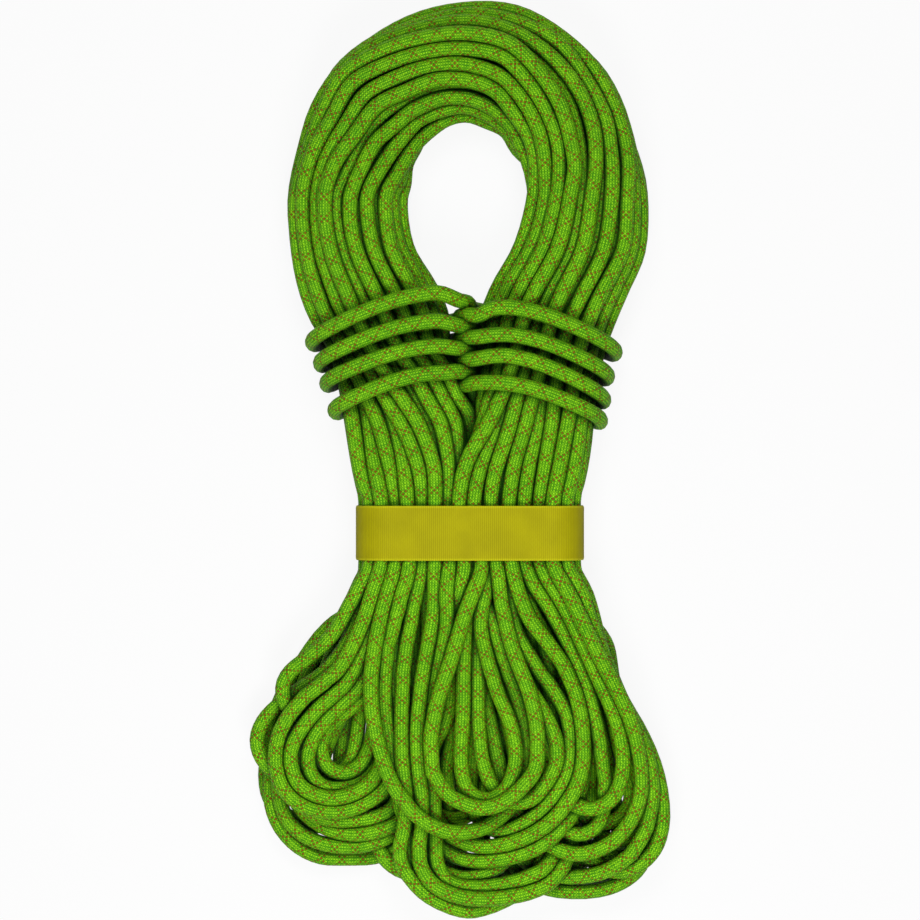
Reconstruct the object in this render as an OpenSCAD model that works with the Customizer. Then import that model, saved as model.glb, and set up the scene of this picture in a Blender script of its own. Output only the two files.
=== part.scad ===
// Dynamic climbing rope, put up in a lap coil.
//
// The rope goes back and forth over an arch. Both legs of the arch are tied
// together with figure-of-eight turns of the same rope, a woven band holds the
// waist, and the loops at the turns fan out below it as a skirt.
//
// The hank lies on its back: +Y points from the skirt to the arch, +X to the
// right and +Z up. The origin is on the ground, under the middle of the hank.
//
// The winding is past four layers deep, so only its outer layer winds, round
// plain cores that stand for the inner turns.

/* [Rope] */
// Diameter of the rope
rope_d = 9.8; // [9.2:0.1:9.8]
// Diameter of the core inside the braided sheath
core_d = 7.6; // [7.2:0.1:7.6]

/* [Hank] */
// Passes of the outer layer over the arch
passes = 18; // [18]
// Width of one leg, between rope centres
leg_w = 62; // [62:0.5:63]
// Depth of one leg, between rope centres
leg_h = 49; // [49:0.5:50]
// Corner radius of a leg's section, on the rope centres
leg_r = 15; // [14.5:0.5:15]
// Height of the arch's springing above the origin
arch_y = 164.5; // [160:0.5:170]
// Half width of the arch, on its middle line
arch_half_w = 76.8; // [74:0.2:80]
// Rise of the arch, on its middle line
arch_rise = 91.6; // [88:0.2:94]
// How much wider than the waist the section is over the arch
arch_swell = 1.08; // [1.06:0.01:1.12]

/* [Skirt] */
// Radius of a skirt loop's round end, on the rope's centre
loop_r = 26; // [24:1:26]
// Reach of the middle loops' centres below the origin
skirt_y = -270; // [-272:1:-264]
// How far the loops fan out, as a multiple of where they leave the waist
fan = 1.55; // [1.54:0.01:1.56]
// How far the skirt hangs to the left of the arch
skirt_left = 4; // [0:1:6]
// How much higher the outer loops end, on the left and on the right
side_rise = [0.95, 0.35]; // [0:0.05:1]
// How much shorter the loops on the top level are
top_rise = 62; // [40:1:70]

/* [Lashing] */
// Figure-of-eight turns round both legs
lash_turns = 4; // [4]
// Middle of the lashing above the origin
lash_y = 77; // [74:1:80]
// Spacing of the turns in the gap between the legs
lash_gap_pitch = 21; // [20.8:0.1:21.4]
// Spacing of the turns at the outer ends
lash_side_pitch = 15.5; // [15:0.1:16]
// How far the outer ends hang below the middle
lash_drop = 28; // [26:1:29]

/* [Band] */
// Width of the woven band, along the hank
band_w = 35; // [30:1:36]
// Thickness of the woven band
band_t = 2; // [1.4:0.1:2.2]
// Length of the sewn overlap at the back
band_lap = 60; // [40:1:60]

/* [Rope ends] */
// Length of the shrunk sleeve on each end
sleeve_l = 30; // [24:1:32]
// Wall of the shrunk sleeve
sleeve_t = 0.25; // [0.2:0.05:0.3]

/* [Hidden] */
$fn = 48;

// Colours
rope_green = [0.36, 0.66, 0.10];
inner_green = [0.16, 0.42, 0.10];
band_olive = [0.66, 0.64, 0.12];
core_white = [0.93, 0.93, 0.90];
tape_red = [0.75, 0.12, 0.10];
sleeve_black = [0.07, 0.07, 0.08];
thread_olive = [0.45, 0.44, 0.10];

// The rope is cut flat where it rests, by a tenth of its diameter.
floor_z = rope_d * 0.4;
// Least gap between neighbouring strands, with some to spare
gap = 0.7;
pitch = rope_d + gap;
// Slack between a leg and the lashing: behind it, before it, round its corners
// and at its outer side
back_slack = 1.4;
front_slack = 1;
corner_slack = 2;
side_slack = 4.5;
// A leg is lifted off the ground by the lashing's strand behind it.
leg_mid_z = floor_z + pitch + back_slack + leg_h / 2;
arch_mid_z = floor_z + leg_h / 2;

arch_angles = [11.25, 33.75, 56.25, 78.75];
// Each row is a place on the right leg: its height, the distances of its innermost
// and outermost rope centres from the hank's centre line, and its lean in degrees.
waist_y = -70;
waist_in = 6.6;
leg_stations = [
    [118, 28, 100.5, 18],
    [80, 12.8, 87, 14],
    [34, 12.8, 75.5, 6],
    [-20, waist_in, waist_in + leg_w, 0],
    [waist_y, waist_in, waist_in + leg_w, 0],
];

// Levels of the skirt's loops, in rope pitches above the ground
right_levels = [0, 1, 2, 4, 5, 6, 5, 3, 1];
left_levels = [0, 1, 2.8, 4, 5, 6, 4, 2];
loop_angles = [-100, -60, -20, 20, 60, 100];
// Shares of a loop's reach at which its strands are halfway to its level, and on it
neck_parts = [0.15, 0.32];
// How gently a loop bends away sideways: 1 is a straight line
neck_bend = 1.8;
// How much a pair parts where it leaves the waist
neck_spread = 0.55;

function unit(v) = v / norm(v);
function mix(a, b, t) = a + (b - a) * t;
function reversed(list) = [for (i = [len(list) - 1:-1:0]) list[i]];

// ---- Section of a leg: slots for the strands round a rounded rectangle ----

flat_w = leg_w - 2 * leg_r;
flat_h = leg_h - 2 * leg_r;
quarter = PI * leg_r / 2;
ring_length = 2 * flat_w + 2 * flat_h + 4 * quarter;

// A point at distance s along the ring, from the inner end of its back side.
// The first value points away from the hank's centre line, the second up.
function ring_point(s) =
    let (
        s1 = flat_w,
        s2 = s1 + quarter,
        s3 = s2 + flat_h,
        s4 = s3 + quarter,
        s5 = s4 + flat_w,
        s6 = s5 + quarter,
        s7 = s6 + flat_h,
        deg = 180 / PI / leg_r
    )
    s < s1 ? [s - flat_w / 2, -leg_h / 2]
    : s < s2 ? [flat_w / 2, -flat_h / 2] + leg_r * [sin((s - s1) * deg), -cos((s - s1) * deg)]
    : s < s3 ? [leg_w / 2, s - s2 - flat_h / 2]
    : s < s4 ? [flat_w / 2, flat_h / 2] + leg_r * [cos((s - s3) * deg), sin((s - s3) * deg)]
    : s < s5 ? [flat_w / 2 - (s - s4), leg_h / 2]
    : s < s6 ? [-flat_w / 2, flat_h / 2] + leg_r * [-sin((s - s5) * deg), cos((s - s5) * deg)]
    : s < s7 ? [-leg_w / 2, flat_h / 2 - (s - s6)]
    : [-flat_w / 2, -flat_h / 2] + leg_r * [-cos((s - s7) * deg), -sin((s - s7) * deg)];

function slot(k) = ring_point((k + 0.5) * ring_length / passes);

// ---- Course of a leg: nine stations from the top of the arch to the waist ----

// A station is [middle of the section, outward direction, width factor].
function arch_station(side, angle) = [
    [side * arch_half_w * sin(angle), arch_y + arch_rise * cos(angle), mix(leg_mid_z, arch_mid_z, cos(angle))],
    unit([side * sin(angle) / arch_half_w, cos(angle) / arch_rise, 0]),
    arch_swell
];
function leg_station(side, row) = [
    [side * (row[1] + row[2]) / 2, row[0], leg_mid_z],
    [side * cos(row[3]), -sin(row[3]), 0],
    (row[2] - row[1]) / cos(row[3]) / leg_w
];
function stations(side) = concat(
    [for (angle = arch_angles) arch_station(side, angle)],
    [for (row = leg_stations) leg_station(side, row)]
);
function in_section(station, p) = station[0] + station[1] * p[0] * station[2] + [0, 0, p[1]];
function leg_points(side, k) = [for (station = stations(side)) in_section(station, slot(k))];

// ---- Skirt: each loop is a flat teardrop on a level of its own ----

function loop_level(side, k) = side > 0 ? right_levels[floor(k / 2)] : left_levels[floor((k - 1) / 2)];
function loop_z(level) = floor_z + level * (pitch + 0.1);
function loop_centre(side, root, level) = [
    fan * root[0] - skirt_left,
    skirt_y + abs(root[0]) * side_rise[side > 0 ? 1 : 0] + (level == 6 ? top_rise : 0),
    loop_z(level)
];

// How far out a strand leaves for its loop: of two strands one above the other,
// the outer side sends out the one nearer a face, the inner side the upper one.
function outwardness(p) = p[0] + 0.3 * (p[0] > 0 ? abs(p[1]) : p[1]);

// The loop on one side that joins slot k to the next one
function loop_points(side, k) =
    let (
        waist = stations(side)[8],
        from = in_section(waist, slot(k)),
        to = in_section(waist, slot(k + 1)),
        root = (from + to) / 2,
        centre = loop_centre(side, root, loop_level(side, k)),
        along = unit([centre[0] - root[0], centre[1] - root[1], 0]),
        across = [-along[1], along[0], 0],
        turn = side * (outwardness(slot(k)) > outwardness(slot(k + 1)) ? 1 : -1),
        round_end = [
            for (angle = reversed(loop_angles))
                centre + loop_r * (cos(angle) * along + turn * sin(angle) * across)
        ],
        // In the neck the pair turns level, at its own spacing, before it parts.
        offset = from - root,
        tilt = atan2(offset[2], turn * offset * across),
        neck = [
            for (part = neck_parts)
                let (share = part / neck_parts[1], half = norm(offset) + neck_spread)
                [
                    [
                        mix(root[0], centre[0], pow(part, neck_bend)),
                        mix(root[1], centre[1], part),
                        mix(root[2], centre[2], share)
                    ],
                    half * (turn * cos(tilt * (1 - share)) * across + sin(tilt * (1 - share)) * [0, 0, 1])
                ]
        ]
    )
    concat(
        [for (n = neck) n[0] + n[1]],
        round_end,
        [for (n = reversed(neck)) n[0] - n[1]]
    );

// ---- The hank's outer layer as one unbroken route ----

function pass_side(k) = k % 2 == 0 ? -1 : 1;
function pass_points(k) = concat(
    reversed(leg_points(pass_side(k), k)),
    leg_points(-pass_side(k), k),
    loop_points(-pass_side(k), k)
);

start_root = in_section(stations(-1)[8], slot(0));
start_end = [start_root[0], -115, loop_z(1)];
start_tail = [start_end, start_end + [0, rope_d, 0]];

// The last pass leaves the arch on the left and goes on as the lashing.
last = passes - 1;
last_leg = leg_points(-1, last);
hand_over = last_leg[3] + rope_d * unit(last_leg[4] - last_leg[3]);
last_pass = concat(
    reversed(leg_points(1, last)),
    [for (i = [0:3]) last_leg[i]],
    [hand_over]
);
hank_route = concat(
    start_tail,
    [for (k = [0:last - 1]) each pass_points(k)],
    last_pass
);

// ---- Lashing ----

lash_r = leg_r + pitch + corner_slack;
lash_front_z = leg_mid_z + leg_h / 2 + pitch + front_slack;
lash_gap_x = 1.6;
lash_corner_steps = [0, 30, 60, 90];
lash_widest = 100;
// The outer strands of a leg come in by this much for each millimetre down it.
leg_taper = 0.3;

// Height of the lashing at distance x from the centre line, after so many turns
function lash_height(x, turns) =
    lash_y
    - (turns - lash_turns / 2) * mix(lash_side_pitch, lash_gap_pitch, exp(-abs(x) / 30))
    - lash_drop * pow(abs(x) / lash_widest, 1.3);

// How far out a turn's end lies
function lash_end_x(turns) =
    leg_stations[2][2] + leg_taper * (lash_height(lash_widest, turns) - leg_stations[2][0]) + pitch + side_slack;

// One lobe round a leg: from the gap, behind the leg and back over its front.
// Each point is its distance from the centre line and its height off the ground.
function lobe_section(end_x) = concat(
    [[0, leg_mid_z]],
    [for (t = lash_corner_steps) [lash_gap_x + lash_r * (1 - cos(t)), floor_z + lash_r * (1 - sin(t))]],
    [for (t = lash_corner_steps) [end_x - lash_r * (1 - sin(t)), floor_z + lash_r * (1 - cos(t))]],
    [for (t = lash_corner_steps) [end_x - lash_r * (1 - cos(t)), lash_front_z - lash_r * (1 - sin(t))]],
    [for (t = lash_corner_steps) [lash_gap_x + lash_r * (1 - sin(t)), lash_front_z - lash_r * (1 - cos(t))]]
);

// Lobe n starts at the nth crossing of the gap. Even lobes go round the left leg.
function lobe_points(n) =
    let (
        side = n % 2 == 0 ? -1 : 1,
        lobe = lobe_section(lash_end_x(n / 2))
    )
    [
        for (i = [0:len(lobe) - 1])
            [side * lobe[i][0], lash_height(lobe[i][0], (n - 0.5 + i / len(lobe)) / 2), lobe[i][1]]
    ];
first_lobe = lobe_points(0);
finish_lobe = lobe_points(2 * lash_turns);

// The lead from the last pass down behind the left leg, chosen by hand
lash_lead = [
    [-46, 141, 11],
    [-43.5, 127, 5.6],
    [-44, 117, floor_z],
    [-49, 108, floor_z],
    [-58, 102, floor_z],
];
sleeve_axis_z = rope_d / 2 + sleeve_t + 0.2;
finish_end = [-44.5, 28, sleeve_axis_z];
lash_route = concat(
    [hand_over, hand_over + rope_d * unit(last_leg[4] - last_leg[3])],
    lash_lead,
    [for (i = [5:len(first_lobe) - 1]) first_lobe[i]],
    [for (n = [1:2 * lash_turns - 1]) each lobe_points(n)],
    [for (i = [0:4]) finish_lobe[i]],
    [finish_end + [rope_d, 0, 0], finish_end]
);

// ---- Middle of the hank: the frame's origin is under the middle of its box ----

function low(route, axis) = min([for (p = route) p[axis]]) - rope_d / 2;
function high(route, axis) = max([for (p = route) p[axis]]) + rope_d / 2;
middle = [
    (low(hank_route, 0) + high(hank_route, 0)) / 2,
    (low(hank_route, 1) + high(hank_route, 1)) / 2,
    0
];

// ---- Least gap between strands, measured between the routes' straight runs ----

function clamp(x) = min(max(x, 0), 1);
function run_distance(p1, q1, p2, q2) =
    let (
        d1 = q1 - p1,
        d2 = q2 - p2,
        r = p1 - p2,
        a = d1 * d1,
        e = d2 * d2,
        b = d1 * d2,
        c = d1 * r,
        f = d2 * r,
        skew = a * e - b * b,
        s0 = skew > 1e-6 ? clamp((b * f - c * e) / skew) : 0,
        t0 = (b * s0 + f) / e,
        t = clamp(t0),
        s = t0 < 0 ? clamp(-c / a) : t0 > 1 ? clamp((b - c) / a) : s0
    )
    norm(p1 + s * d1 - p2 - t * d2);
// Runs whose middles are this far apart can't be neighbours.
function far_apart(p1, q1, p2, q2) =
    norm(p1 + q1 - p2 - q2) > norm(q1 - p1) + norm(q2 - p2) + 4 * rope_d;
function gaps(one, other, skip) = [
    for (i = [0:len(one) - 2], j = [skip == 0 ? 0 : i + skip:1:len(other) - 2])
        if (!far_apart(one[i], one[i + 1], other[j], other[j + 1]))
            [run_distance(one[i], one[i + 1], other[j], other[j + 1]) - rope_d, i, j]
];
function least(list) = let (m = min([for (g = list) g[0]])) [for (g = list) if (g[0] == m) g][0];

// ---- Sweep of a section along a route ----

module loft(rings) {
    sides = len(rings[0]);
    end_base = (len(rings) - 1) * sides;
    walls = [
        for (i = [0:len(rings) - 2], j = [0:sides - 1])
            let (
                a = i * sides + j,
                b = i * sides + (j + 1) % sides
            )
            each [[a, b, b + sides], [a, b + sides, a + sides]]
    ];
    start_cap = [for (j = [1:sides - 2]) [0, j + 1, j]];
    end_cap = [for (j = [1:sides - 2]) [end_base, end_base + j, end_base + j + 1]];
    polyhedron(
        points = [for (ring = rings) each ring],
        faces = concat(start_cap, walls, end_cap),
        convexity = 10
    );
}

tube_sides = 6;

// Each ring stands square to the route and keeps the reference upright.
function ring(route, i, upright) =
    let (
        before = route[max(i - 1, 0)],
        after = route[min(i + 1, len(route) - 1)],
        along = unit(after - before),
        across = unit(cross(upright, along)),
        normal = cross(along, across)
    )
    [
        for (j = [0:tube_sides - 1])
            let (angle = 360 * j / tube_sides)
            route[i] + rope_d / 2 * (cos(angle) * across + sin(angle) * normal)
    ];
module rope(route, upright) loft([for (i = [0:len(route) - 1]) ring(route, i, upright)]);

// The inner turns fill the section inside the outer layer.
core_inset = rope_d / 2 + gap;
function core_corner(x, y, start) = [
    for (t = [start:45:start + 90])
        [x, y] + (leg_r - core_inset) * [cos(t), sin(t)]
];
core_outline = concat(
    core_corner(flat_w / 2, flat_h / 2, 0),
    core_corner(-flat_w / 2, flat_h / 2, 90),
    core_corner(-flat_w / 2, -flat_h / 2, 180),
    core_corner(flat_w / 2, -flat_h / 2, 270)
);
function core_ring(station) = [for (p = core_outline) in_section(station, p)];

module in_frame() translate(-middle) children();

module on_ground() {
    intersection() {
        in_frame() children();
        translate([-250, -400, 0]) cube([500, 800, 200]);
    }
}

// ---- Sub-parts: the rope's turns ----

module hank_turns() {
    echo(hank_turns_least_gap_to_itself = least(gaps(hank_route, hank_route, 3)));
    color(rope_green) on_ground() rope(hank_route, [0, 0, 1]);
}

module lashing_turns() {
    echo(lashing_turns_least_gap_to_itself = least(gaps(lash_route, lash_route, 3)));
    echo(lashing_turns_least_gap_to_hank_turns = least([
        for (g = gaps(hank_route, lash_route, 0))
            if (g[1] < len(hank_route) - 3 || g[2] > 2) g
    ]));
    color(rope_green) on_ground() rope(lash_route, [0, 1, 0]);
}

module inner_turns_arch() {
    color(inner_green) in_frame() loft(concat(
        [for (i = [4:-1:0]) core_ring(stations(-1)[i])],
        [for (i = [0:4]) core_ring(stations(1)[i])]
    ));
}

module inner_turns_left_leg() {
    color(inner_green) in_frame() loft([for (i = [8:-1:4]) core_ring(stations(-1)[i])]);
}

module inner_turns_right_leg() {
    color(inner_green) in_frame() loft([for (i = [4:8]) core_ring(stations(1)[i])]);
}

// ---- Sub-parts: the band round the waist ----

band_low_y = waist_y + 3;
band_inner_w = 2 * (waist_in + leg_w) + rope_d + 0.6;
band_inner_h = leg_h + rope_d + 0.6;
band_inner_r = leg_r + rope_d / 2 + 0.3;
band_back_z = leg_mid_z - band_inner_h / 2 - band_t;
tack_w = 28;
tack_stitches = 9;
thread_d = 0.8;

module rounded_rectangle(w, h, r) {
    square([w - 2 * r, h], center = true);
    square([w, h - 2 * r], center = true);
    for (x = [-1, 1], y = [-1, 1])
        translate([x * (w / 2 - r), y * (h / 2 - r)]) circle(r);
}

module band() {
    color(band_olive) in_frame()
        translate([0, band_low_y + band_w, leg_mid_z]) rotate([90, 0, 0])
            linear_extrude(band_w) difference() {
                rounded_rectangle(band_inner_w + 2 * band_t, band_inner_h + 2 * band_t, band_inner_r + band_t);
                rounded_rectangle(band_inner_w, band_inner_h, band_inner_r);
            }
}

module band_overlap() {
    color(band_olive) in_frame()
        translate([-band_lap / 2, band_low_y, band_back_z - band_t])
            cube([band_lap, band_w, band_t]);
}

module band_stitching() {
    stitch_l = tack_w / tack_stitches;
    color(thread_olive) in_frame()
        for (x = [-band_lap / 2 + 6, band_lap / 2 - 6], i = [0:tack_stitches - 1])
            translate([
                x,
                band_low_y + (band_w - tack_w) / 2 + (i + 0.15) * stitch_l,
                band_back_z - band_t - thread_d / 2
            ])
                cube([1.2, stitch_l * 0.7, thread_d / 2]);
}

// ---- Sub-parts: the rope's two ends, cut square and held by a shrunk sleeve ----

end_l = sleeve_l + 2;
strand_d = 1.75;
tape_w = 1.6;
tape_t = 0.3;
// The ninth place in the outer row of core strands is the tape's.
tape_out = 2.7;
inner_row_r = 1.05;
outer_row_r = 2.88;

// An end is modelled along +X from where the turned rope stops.
module at_start() in_frame() translate(start_end) rotate([0, 0, -90]) children();
module at_finish() in_frame() translate(finish_end) rotate([0, 0, 180]) children();
module along_x(x = 0) translate([x, 0, 0]) rotate([0, 90, 0]) children();

module end_sheath() {
    color(rope_green) along_x() difference() {
        cylinder(d = rope_d, h = end_l);
        translate([0, 0, -1]) cylinder(d = core_d, h = end_l + 2);
    }
}

module end_core() {
    color(core_white) along_x() {
        for (i = [0:2])
            rotate(120 * i) translate([inner_row_r, 0, 0]) cylinder(d = strand_d, h = end_l);
        for (i = [1:8])
            rotate(40 * i) translate([outer_row_r, 0, 0]) cylinder(d = strand_d, h = end_l);
    }
}

module end_tape() {
    color(tape_red) translate([0, -tape_w / 2, -tape_out - tape_t]) cube([end_l, tape_w, tape_t]);
}

module end_sleeve() {
    color(sleeve_black) along_x(1) difference() {
        cylinder(d = rope_d + 0.1 + 2 * sleeve_t, h = sleeve_l);
        translate([0, 0, -1]) cylinder(d = rope_d + 0.1, h = sleeve_l + 2);
    }
}

module start_end_sheath() at_start() end_sheath();
module start_end_core() at_start() end_core();
module start_end_tape() at_start() end_tape();
module start_end_sleeve() at_start() end_sleeve();
module finish_end_sheath() at_finish() end_sheath();
module finish_end_core() at_finish() end_core();
module finish_end_tape() at_finish() end_tape();
module finish_end_sleeve() at_finish() end_sleeve();

hank_turns();
lashing_turns();
inner_turns_arch();
inner_turns_left_leg();
inner_turns_right_leg();
band();
band_overlap();
band_stitching();
start_end_sheath();
start_end_core();
start_end_tape();
start_end_sleeve();
finish_end_sheath();
finish_end_core();
finish_end_tape();
finish_end_sleeve();
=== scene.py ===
# %% [markdown]
# # A climbing rope, put up in a lap coil
#
# The whole object is one long braided rope. It goes back and forth over an arch,
# both legs of the arch are tied together with figure-of-eight turns, a woven band
# holds the waist, and the bends at the end of every pass hang below it as a skirt.
# This lesson loads the imported solids first, and leaves each where it is.

import math

import bpy
import numpy as np
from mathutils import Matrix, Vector


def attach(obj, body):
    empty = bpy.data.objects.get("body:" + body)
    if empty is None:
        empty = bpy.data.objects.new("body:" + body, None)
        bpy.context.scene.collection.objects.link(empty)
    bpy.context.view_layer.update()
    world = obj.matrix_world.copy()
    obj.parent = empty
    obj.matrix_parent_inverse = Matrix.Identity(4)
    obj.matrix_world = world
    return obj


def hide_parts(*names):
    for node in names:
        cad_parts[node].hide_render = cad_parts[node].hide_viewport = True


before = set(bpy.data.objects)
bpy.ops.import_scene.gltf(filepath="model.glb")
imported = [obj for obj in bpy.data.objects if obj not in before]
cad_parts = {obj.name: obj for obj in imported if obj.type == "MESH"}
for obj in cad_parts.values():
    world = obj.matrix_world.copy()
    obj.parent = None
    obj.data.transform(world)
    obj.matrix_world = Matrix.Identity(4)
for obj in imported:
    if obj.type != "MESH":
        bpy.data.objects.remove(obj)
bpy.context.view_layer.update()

# %% [markdown]
# ## Units and a layout grid
#
# Blender works in metres, but a rope is easier to think about in millimetres, so
# the route is worked out in millimetres and scaled once, at the end. The places of
# the loops were drawn on a square grid of 920 units with its first row at the top.
# One small function turns a grid place into millimetres, so that the drawing's
# numbers can stay as they were drawn.

# %% Units and the layout grid
MM = 0.001
GRID_SIZE = 920
GRID_MM = 0.645
GRID_MIDDLE = (460.0, 460.5)


def on_grid(column, row):
    """Millimetres to the right of and above the hank's middle."""
    return (column - GRID_MIDDLE[0]) * GRID_MM, (GRID_MIDDLE[1] - row) * GRID_MM


# %% [markdown]
# ## The camera
#
# The hank lies on its back and is looked at from straight above. A long lens far
# away keeps the strands that lie high from looking larger than those that lie low.
# The sensor's width, the lens and the distance give the width of the view, so the
# distance is worked out from the other two. What lies low still looks a little
# nearer to the middle, and `seen_at` makes up for that.

# %% Camera
SENSOR = 36.0
LENS = 150.0
VIEW_LEVEL_MM = 50.0
VIEW_END = 20.0

view_width = GRID_SIZE * GRID_MM * MM
camera_mm = GRID_SIZE * GRID_MM * LENS / SENSOR
camera_data = bpy.data.cameras.new("camera")
camera_data.lens = LENS
camera_data.sensor_width = SENSOR
camera_data.clip_end = VIEW_END
camera = bpy.data.objects.new("camera", camera_data)
camera.location = (0.0, 0.0, view_width * LENS / SENSOR + VIEW_LEVEL_MM * MM)
bpy.context.scene.collection.objects.link(camera)
bpy.context.scene.camera = camera
print("camera height", round(camera.location.z, 3))


def seen_at(x, y, z):
    """Where a place has to lie at height z to be seen at (x, y) of the view level."""
    nearer = 1 + (VIEW_LEVEL_MM - z) / camera_mm
    return x * nearer, y * nearer


# %% [markdown]
# ## Facts of the rope
#
# A cord starts with its facts: how thick it is, how long, how it is put up. This
# is a single rope of 9.8 mm. It makes 42 passes of about 1.15 m over the arch,
# and its last 2.3 m are the lashing. A rope of 50 m is the usual length for that.
# Lengths here are in millimetres, apart from the rope's own.

# %% Facts of the rope
ROPE_D = 9.8
PASSES = 42
STEP = 5.0
FLOOR_Z = ROPE_D / 2
LEG_MID_Z = 40.3
ARCH_MID_Z = 30.2

# %% [markdown]
# ## Where a strand lies in a leg
#
# Cut through a leg and the strands lie in rows, like pipes on a lorry: each row
# sits in the hollows of the next. A strand keeps to its place in that section all
# the way up, so a *slot* is all that has to be known of it: how far out it lies and
# how high, each from -1 to 1. Under the band both legs are pressed into flat rows.
# Over the arch nothing presses, and the same strands gather into a round bundle.

# %% Slots
LEFT, RIGHT = -1, 1
ROWS = {LEFT: (7, 7, 7, 7, 7, 7), RIGHT: (8, 8, 7, 7, 6, 6)}
ARCH_ROWS = (4, 6, 7, 8, 7, 6, 4)
WIDEST_ARCH_ROW = 8


def row_slots(rows, widest=None):
    """The slots of a section, from the front row to the back, as (out, up).

    Without a widest row every row fills the whole width."""
    slots = []
    for row, count in enumerate(rows):
        up = 1 - 2 * row / (len(rows) - 1)
        for i in range(count):
            slots.append(((2 * i - (count - 1)) / ((widest or count) - 1), up))
    return np.array(slots)


SLOTS = {side: row_slots(ROWS[side]) for side in (LEFT, RIGHT)}
ARCH_SLOTS = row_slots(ARCH_ROWS, WIDEST_ARCH_ROW)
print("slots", {side: len(slots) for side, slots in SLOTS.items()}, len(ARCH_SLOTS))

# %% [markdown]
# ## The course of both legs
#
# The arch is nearly half a circle, but not quite: it leans a little to the right.
# For every 15 degrees away from its top there are two radii, of the innermost and
# of the outermost strand. Below it the legs draw together to the waist, and there
# each row of a table is a height and the places of the same two strands.
#
# The bundle also turns a little on its way over the arch, as it does when it is
# wound over a knee: strands of the outer side come to the front on the right. On
# their way down the legs the strands of the bundle change to their places in the
# flat rows, and the rows lean so that the back ones lie further out.

# %% Course of the legs
ARCH_MIDDLE = (4.5, 168.0)
ARCH_ANGLES = (0.0, 15.0, 30.0, 45.0, 60.0, 75.0, 90.0)
ARCH_INNER = {
    LEFT: (56.0, 54.7, 51.8, 49.2, 45.8, 44.4, 44.2),
    RIGHT: (56.0, 54.0, 51.0, 49.5, 47.2, 45.5, 44.6),
}
ARCH_OUTER = {
    LEFT: (122.2, 118.2, 117.3, 116.0, 111.2, 109.3, 110.6),
    RIGHT: (122.2, 125.0, 121.5, 116.4, 113.1, 110.6, 111.8),
}
ARCH_HALF_H = 25.0
WAIST_HALF_H = 23.0
ARCH_TWIST = math.radians(88.0)
LEG_TABLE = {
    LEFT: (
        (135.8, -34.5, -104.6),
        (110.0, -18.5, -99.0),
        (92.0, -10.8, -92.0),
        (74.5, -10.2, -81.2),
        (50.0, 2.5, -75.0),
        (36.0, 3.5, -72.5),
        (24.8, 4.5, -70.5),
        (-5.0, -3.0, -66.0),
        (-29.0, -7.5, -63.5),
        (-47.0, -8.0, -62.5),
        (-66.0, -6.0, -62.5),
    ),
    RIGHT: (
        (135.8, 38.6, 115.5),
        (110.0, 24.0, 103.7),
        (92.0, 16.8, 95.6),
        (74.5, 14.6, 89.0),
        (50.0, 11.5, 83.0),
        (36.0, 8.0, 81.5),
        (24.8, 6.5, 80.0),
        (-5.0, -1.0, 77.0),
        (-29.0, -2.5, 74.5),
        (-47.0, 0.0, 73.0),
        (-66.0, 3.5, 72.0),
    ),
}
LEAN = 0.55
LEAN_FROM, LEAN_TO = 75.0, 5.0
ROUND_FROM, ROUND_TO = -30.0, 80.0
LEG_TWIST = {LEFT: math.radians(-42.0), RIGHT: math.radians(-12.0)}


def smooth_step(t):
    """From 0 to 1 as t goes from 0 to 1, with a soft start and a soft end."""
    t = min(max(t, 0.0), 1.0)
    return t * t * (3 - 2 * t)


def turned(slot, angle):
    """A place (out, up) of a section that has turned by an angle."""
    sin, cos = math.sin(angle), math.cos(angle)
    return np.array([cos * slot[0] - sin * slot[1], sin * slot[0] + cos * slot[1]])


def arch_place(side, arch_slot, degrees):
    """A slot in the section so many degrees from the arch's top, (out, up)."""
    angle = side * ARCH_TWIST / 2 * degrees / 90.0
    widest = max(turned(slot, angle)[0] for slot in ARCH_SLOTS)
    return turned(arch_slot, angle) / [widest, 1.0]


def leg_course(side, slot, arch_slot, wander=((0.0, 0.0),)):
    """A strand's control points from the arch's top down to the waist.

    Wander shifts it in the section over the arch, by a little at each angle."""
    points = []
    for n, degrees in enumerate(ARCH_ANGLES):
        sin, cos = math.sin(math.radians(degrees)), math.cos(math.radians(degrees))
        out, up = arch_place(side, arch_slot, degrees) + wander[n % len(wander)]
        inner, outer = ARCH_INNER[side][n], ARCH_OUTER[side][n]
        radius = inner + (outer - inner) * (out + 1) / 2
        mid_z = LEG_MID_Z + (ARCH_MID_Z - LEG_MID_Z) * cos
        x, y = ARCH_MIDDLE[0] + side * radius * sin, ARCH_MIDDLE[1] + radius * cos
        points.append((*seen_at(x, y, mid_z), mid_z + up * ARCH_HALF_H))
    arrived = arch_place(side, arch_slot, ARCH_ANGLES[-1])
    for y, inner, outer in LEG_TABLE[side]:
        roundness = smooth_step((y - ROUND_FROM) / (ROUND_TO - ROUND_FROM))
        out, up = slot + (arrived - slot) * roundness
        half_h = WAIST_HALF_H + (ARCH_HALF_H - WAIST_HALF_H) * roundness
        lean = LEAN * smooth_step((LEAN_FROM - y) / (LEAN_FROM - LEAN_TO))
        leaned = inner + lean * (1 - up) * half_h
        x = leaned + (outer - leaned) * (out + 1) / 2
        points.append((x, y, LEG_MID_Z + up * half_h))
    return np.array(points)


def waist_place(side, index):
    """Where a slot lies at the band's lower edge: across and up."""
    point = leg_course(side, SLOTS[side][index], SLOTS[side][index])[-1]
    return point[0], point[2]
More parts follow.
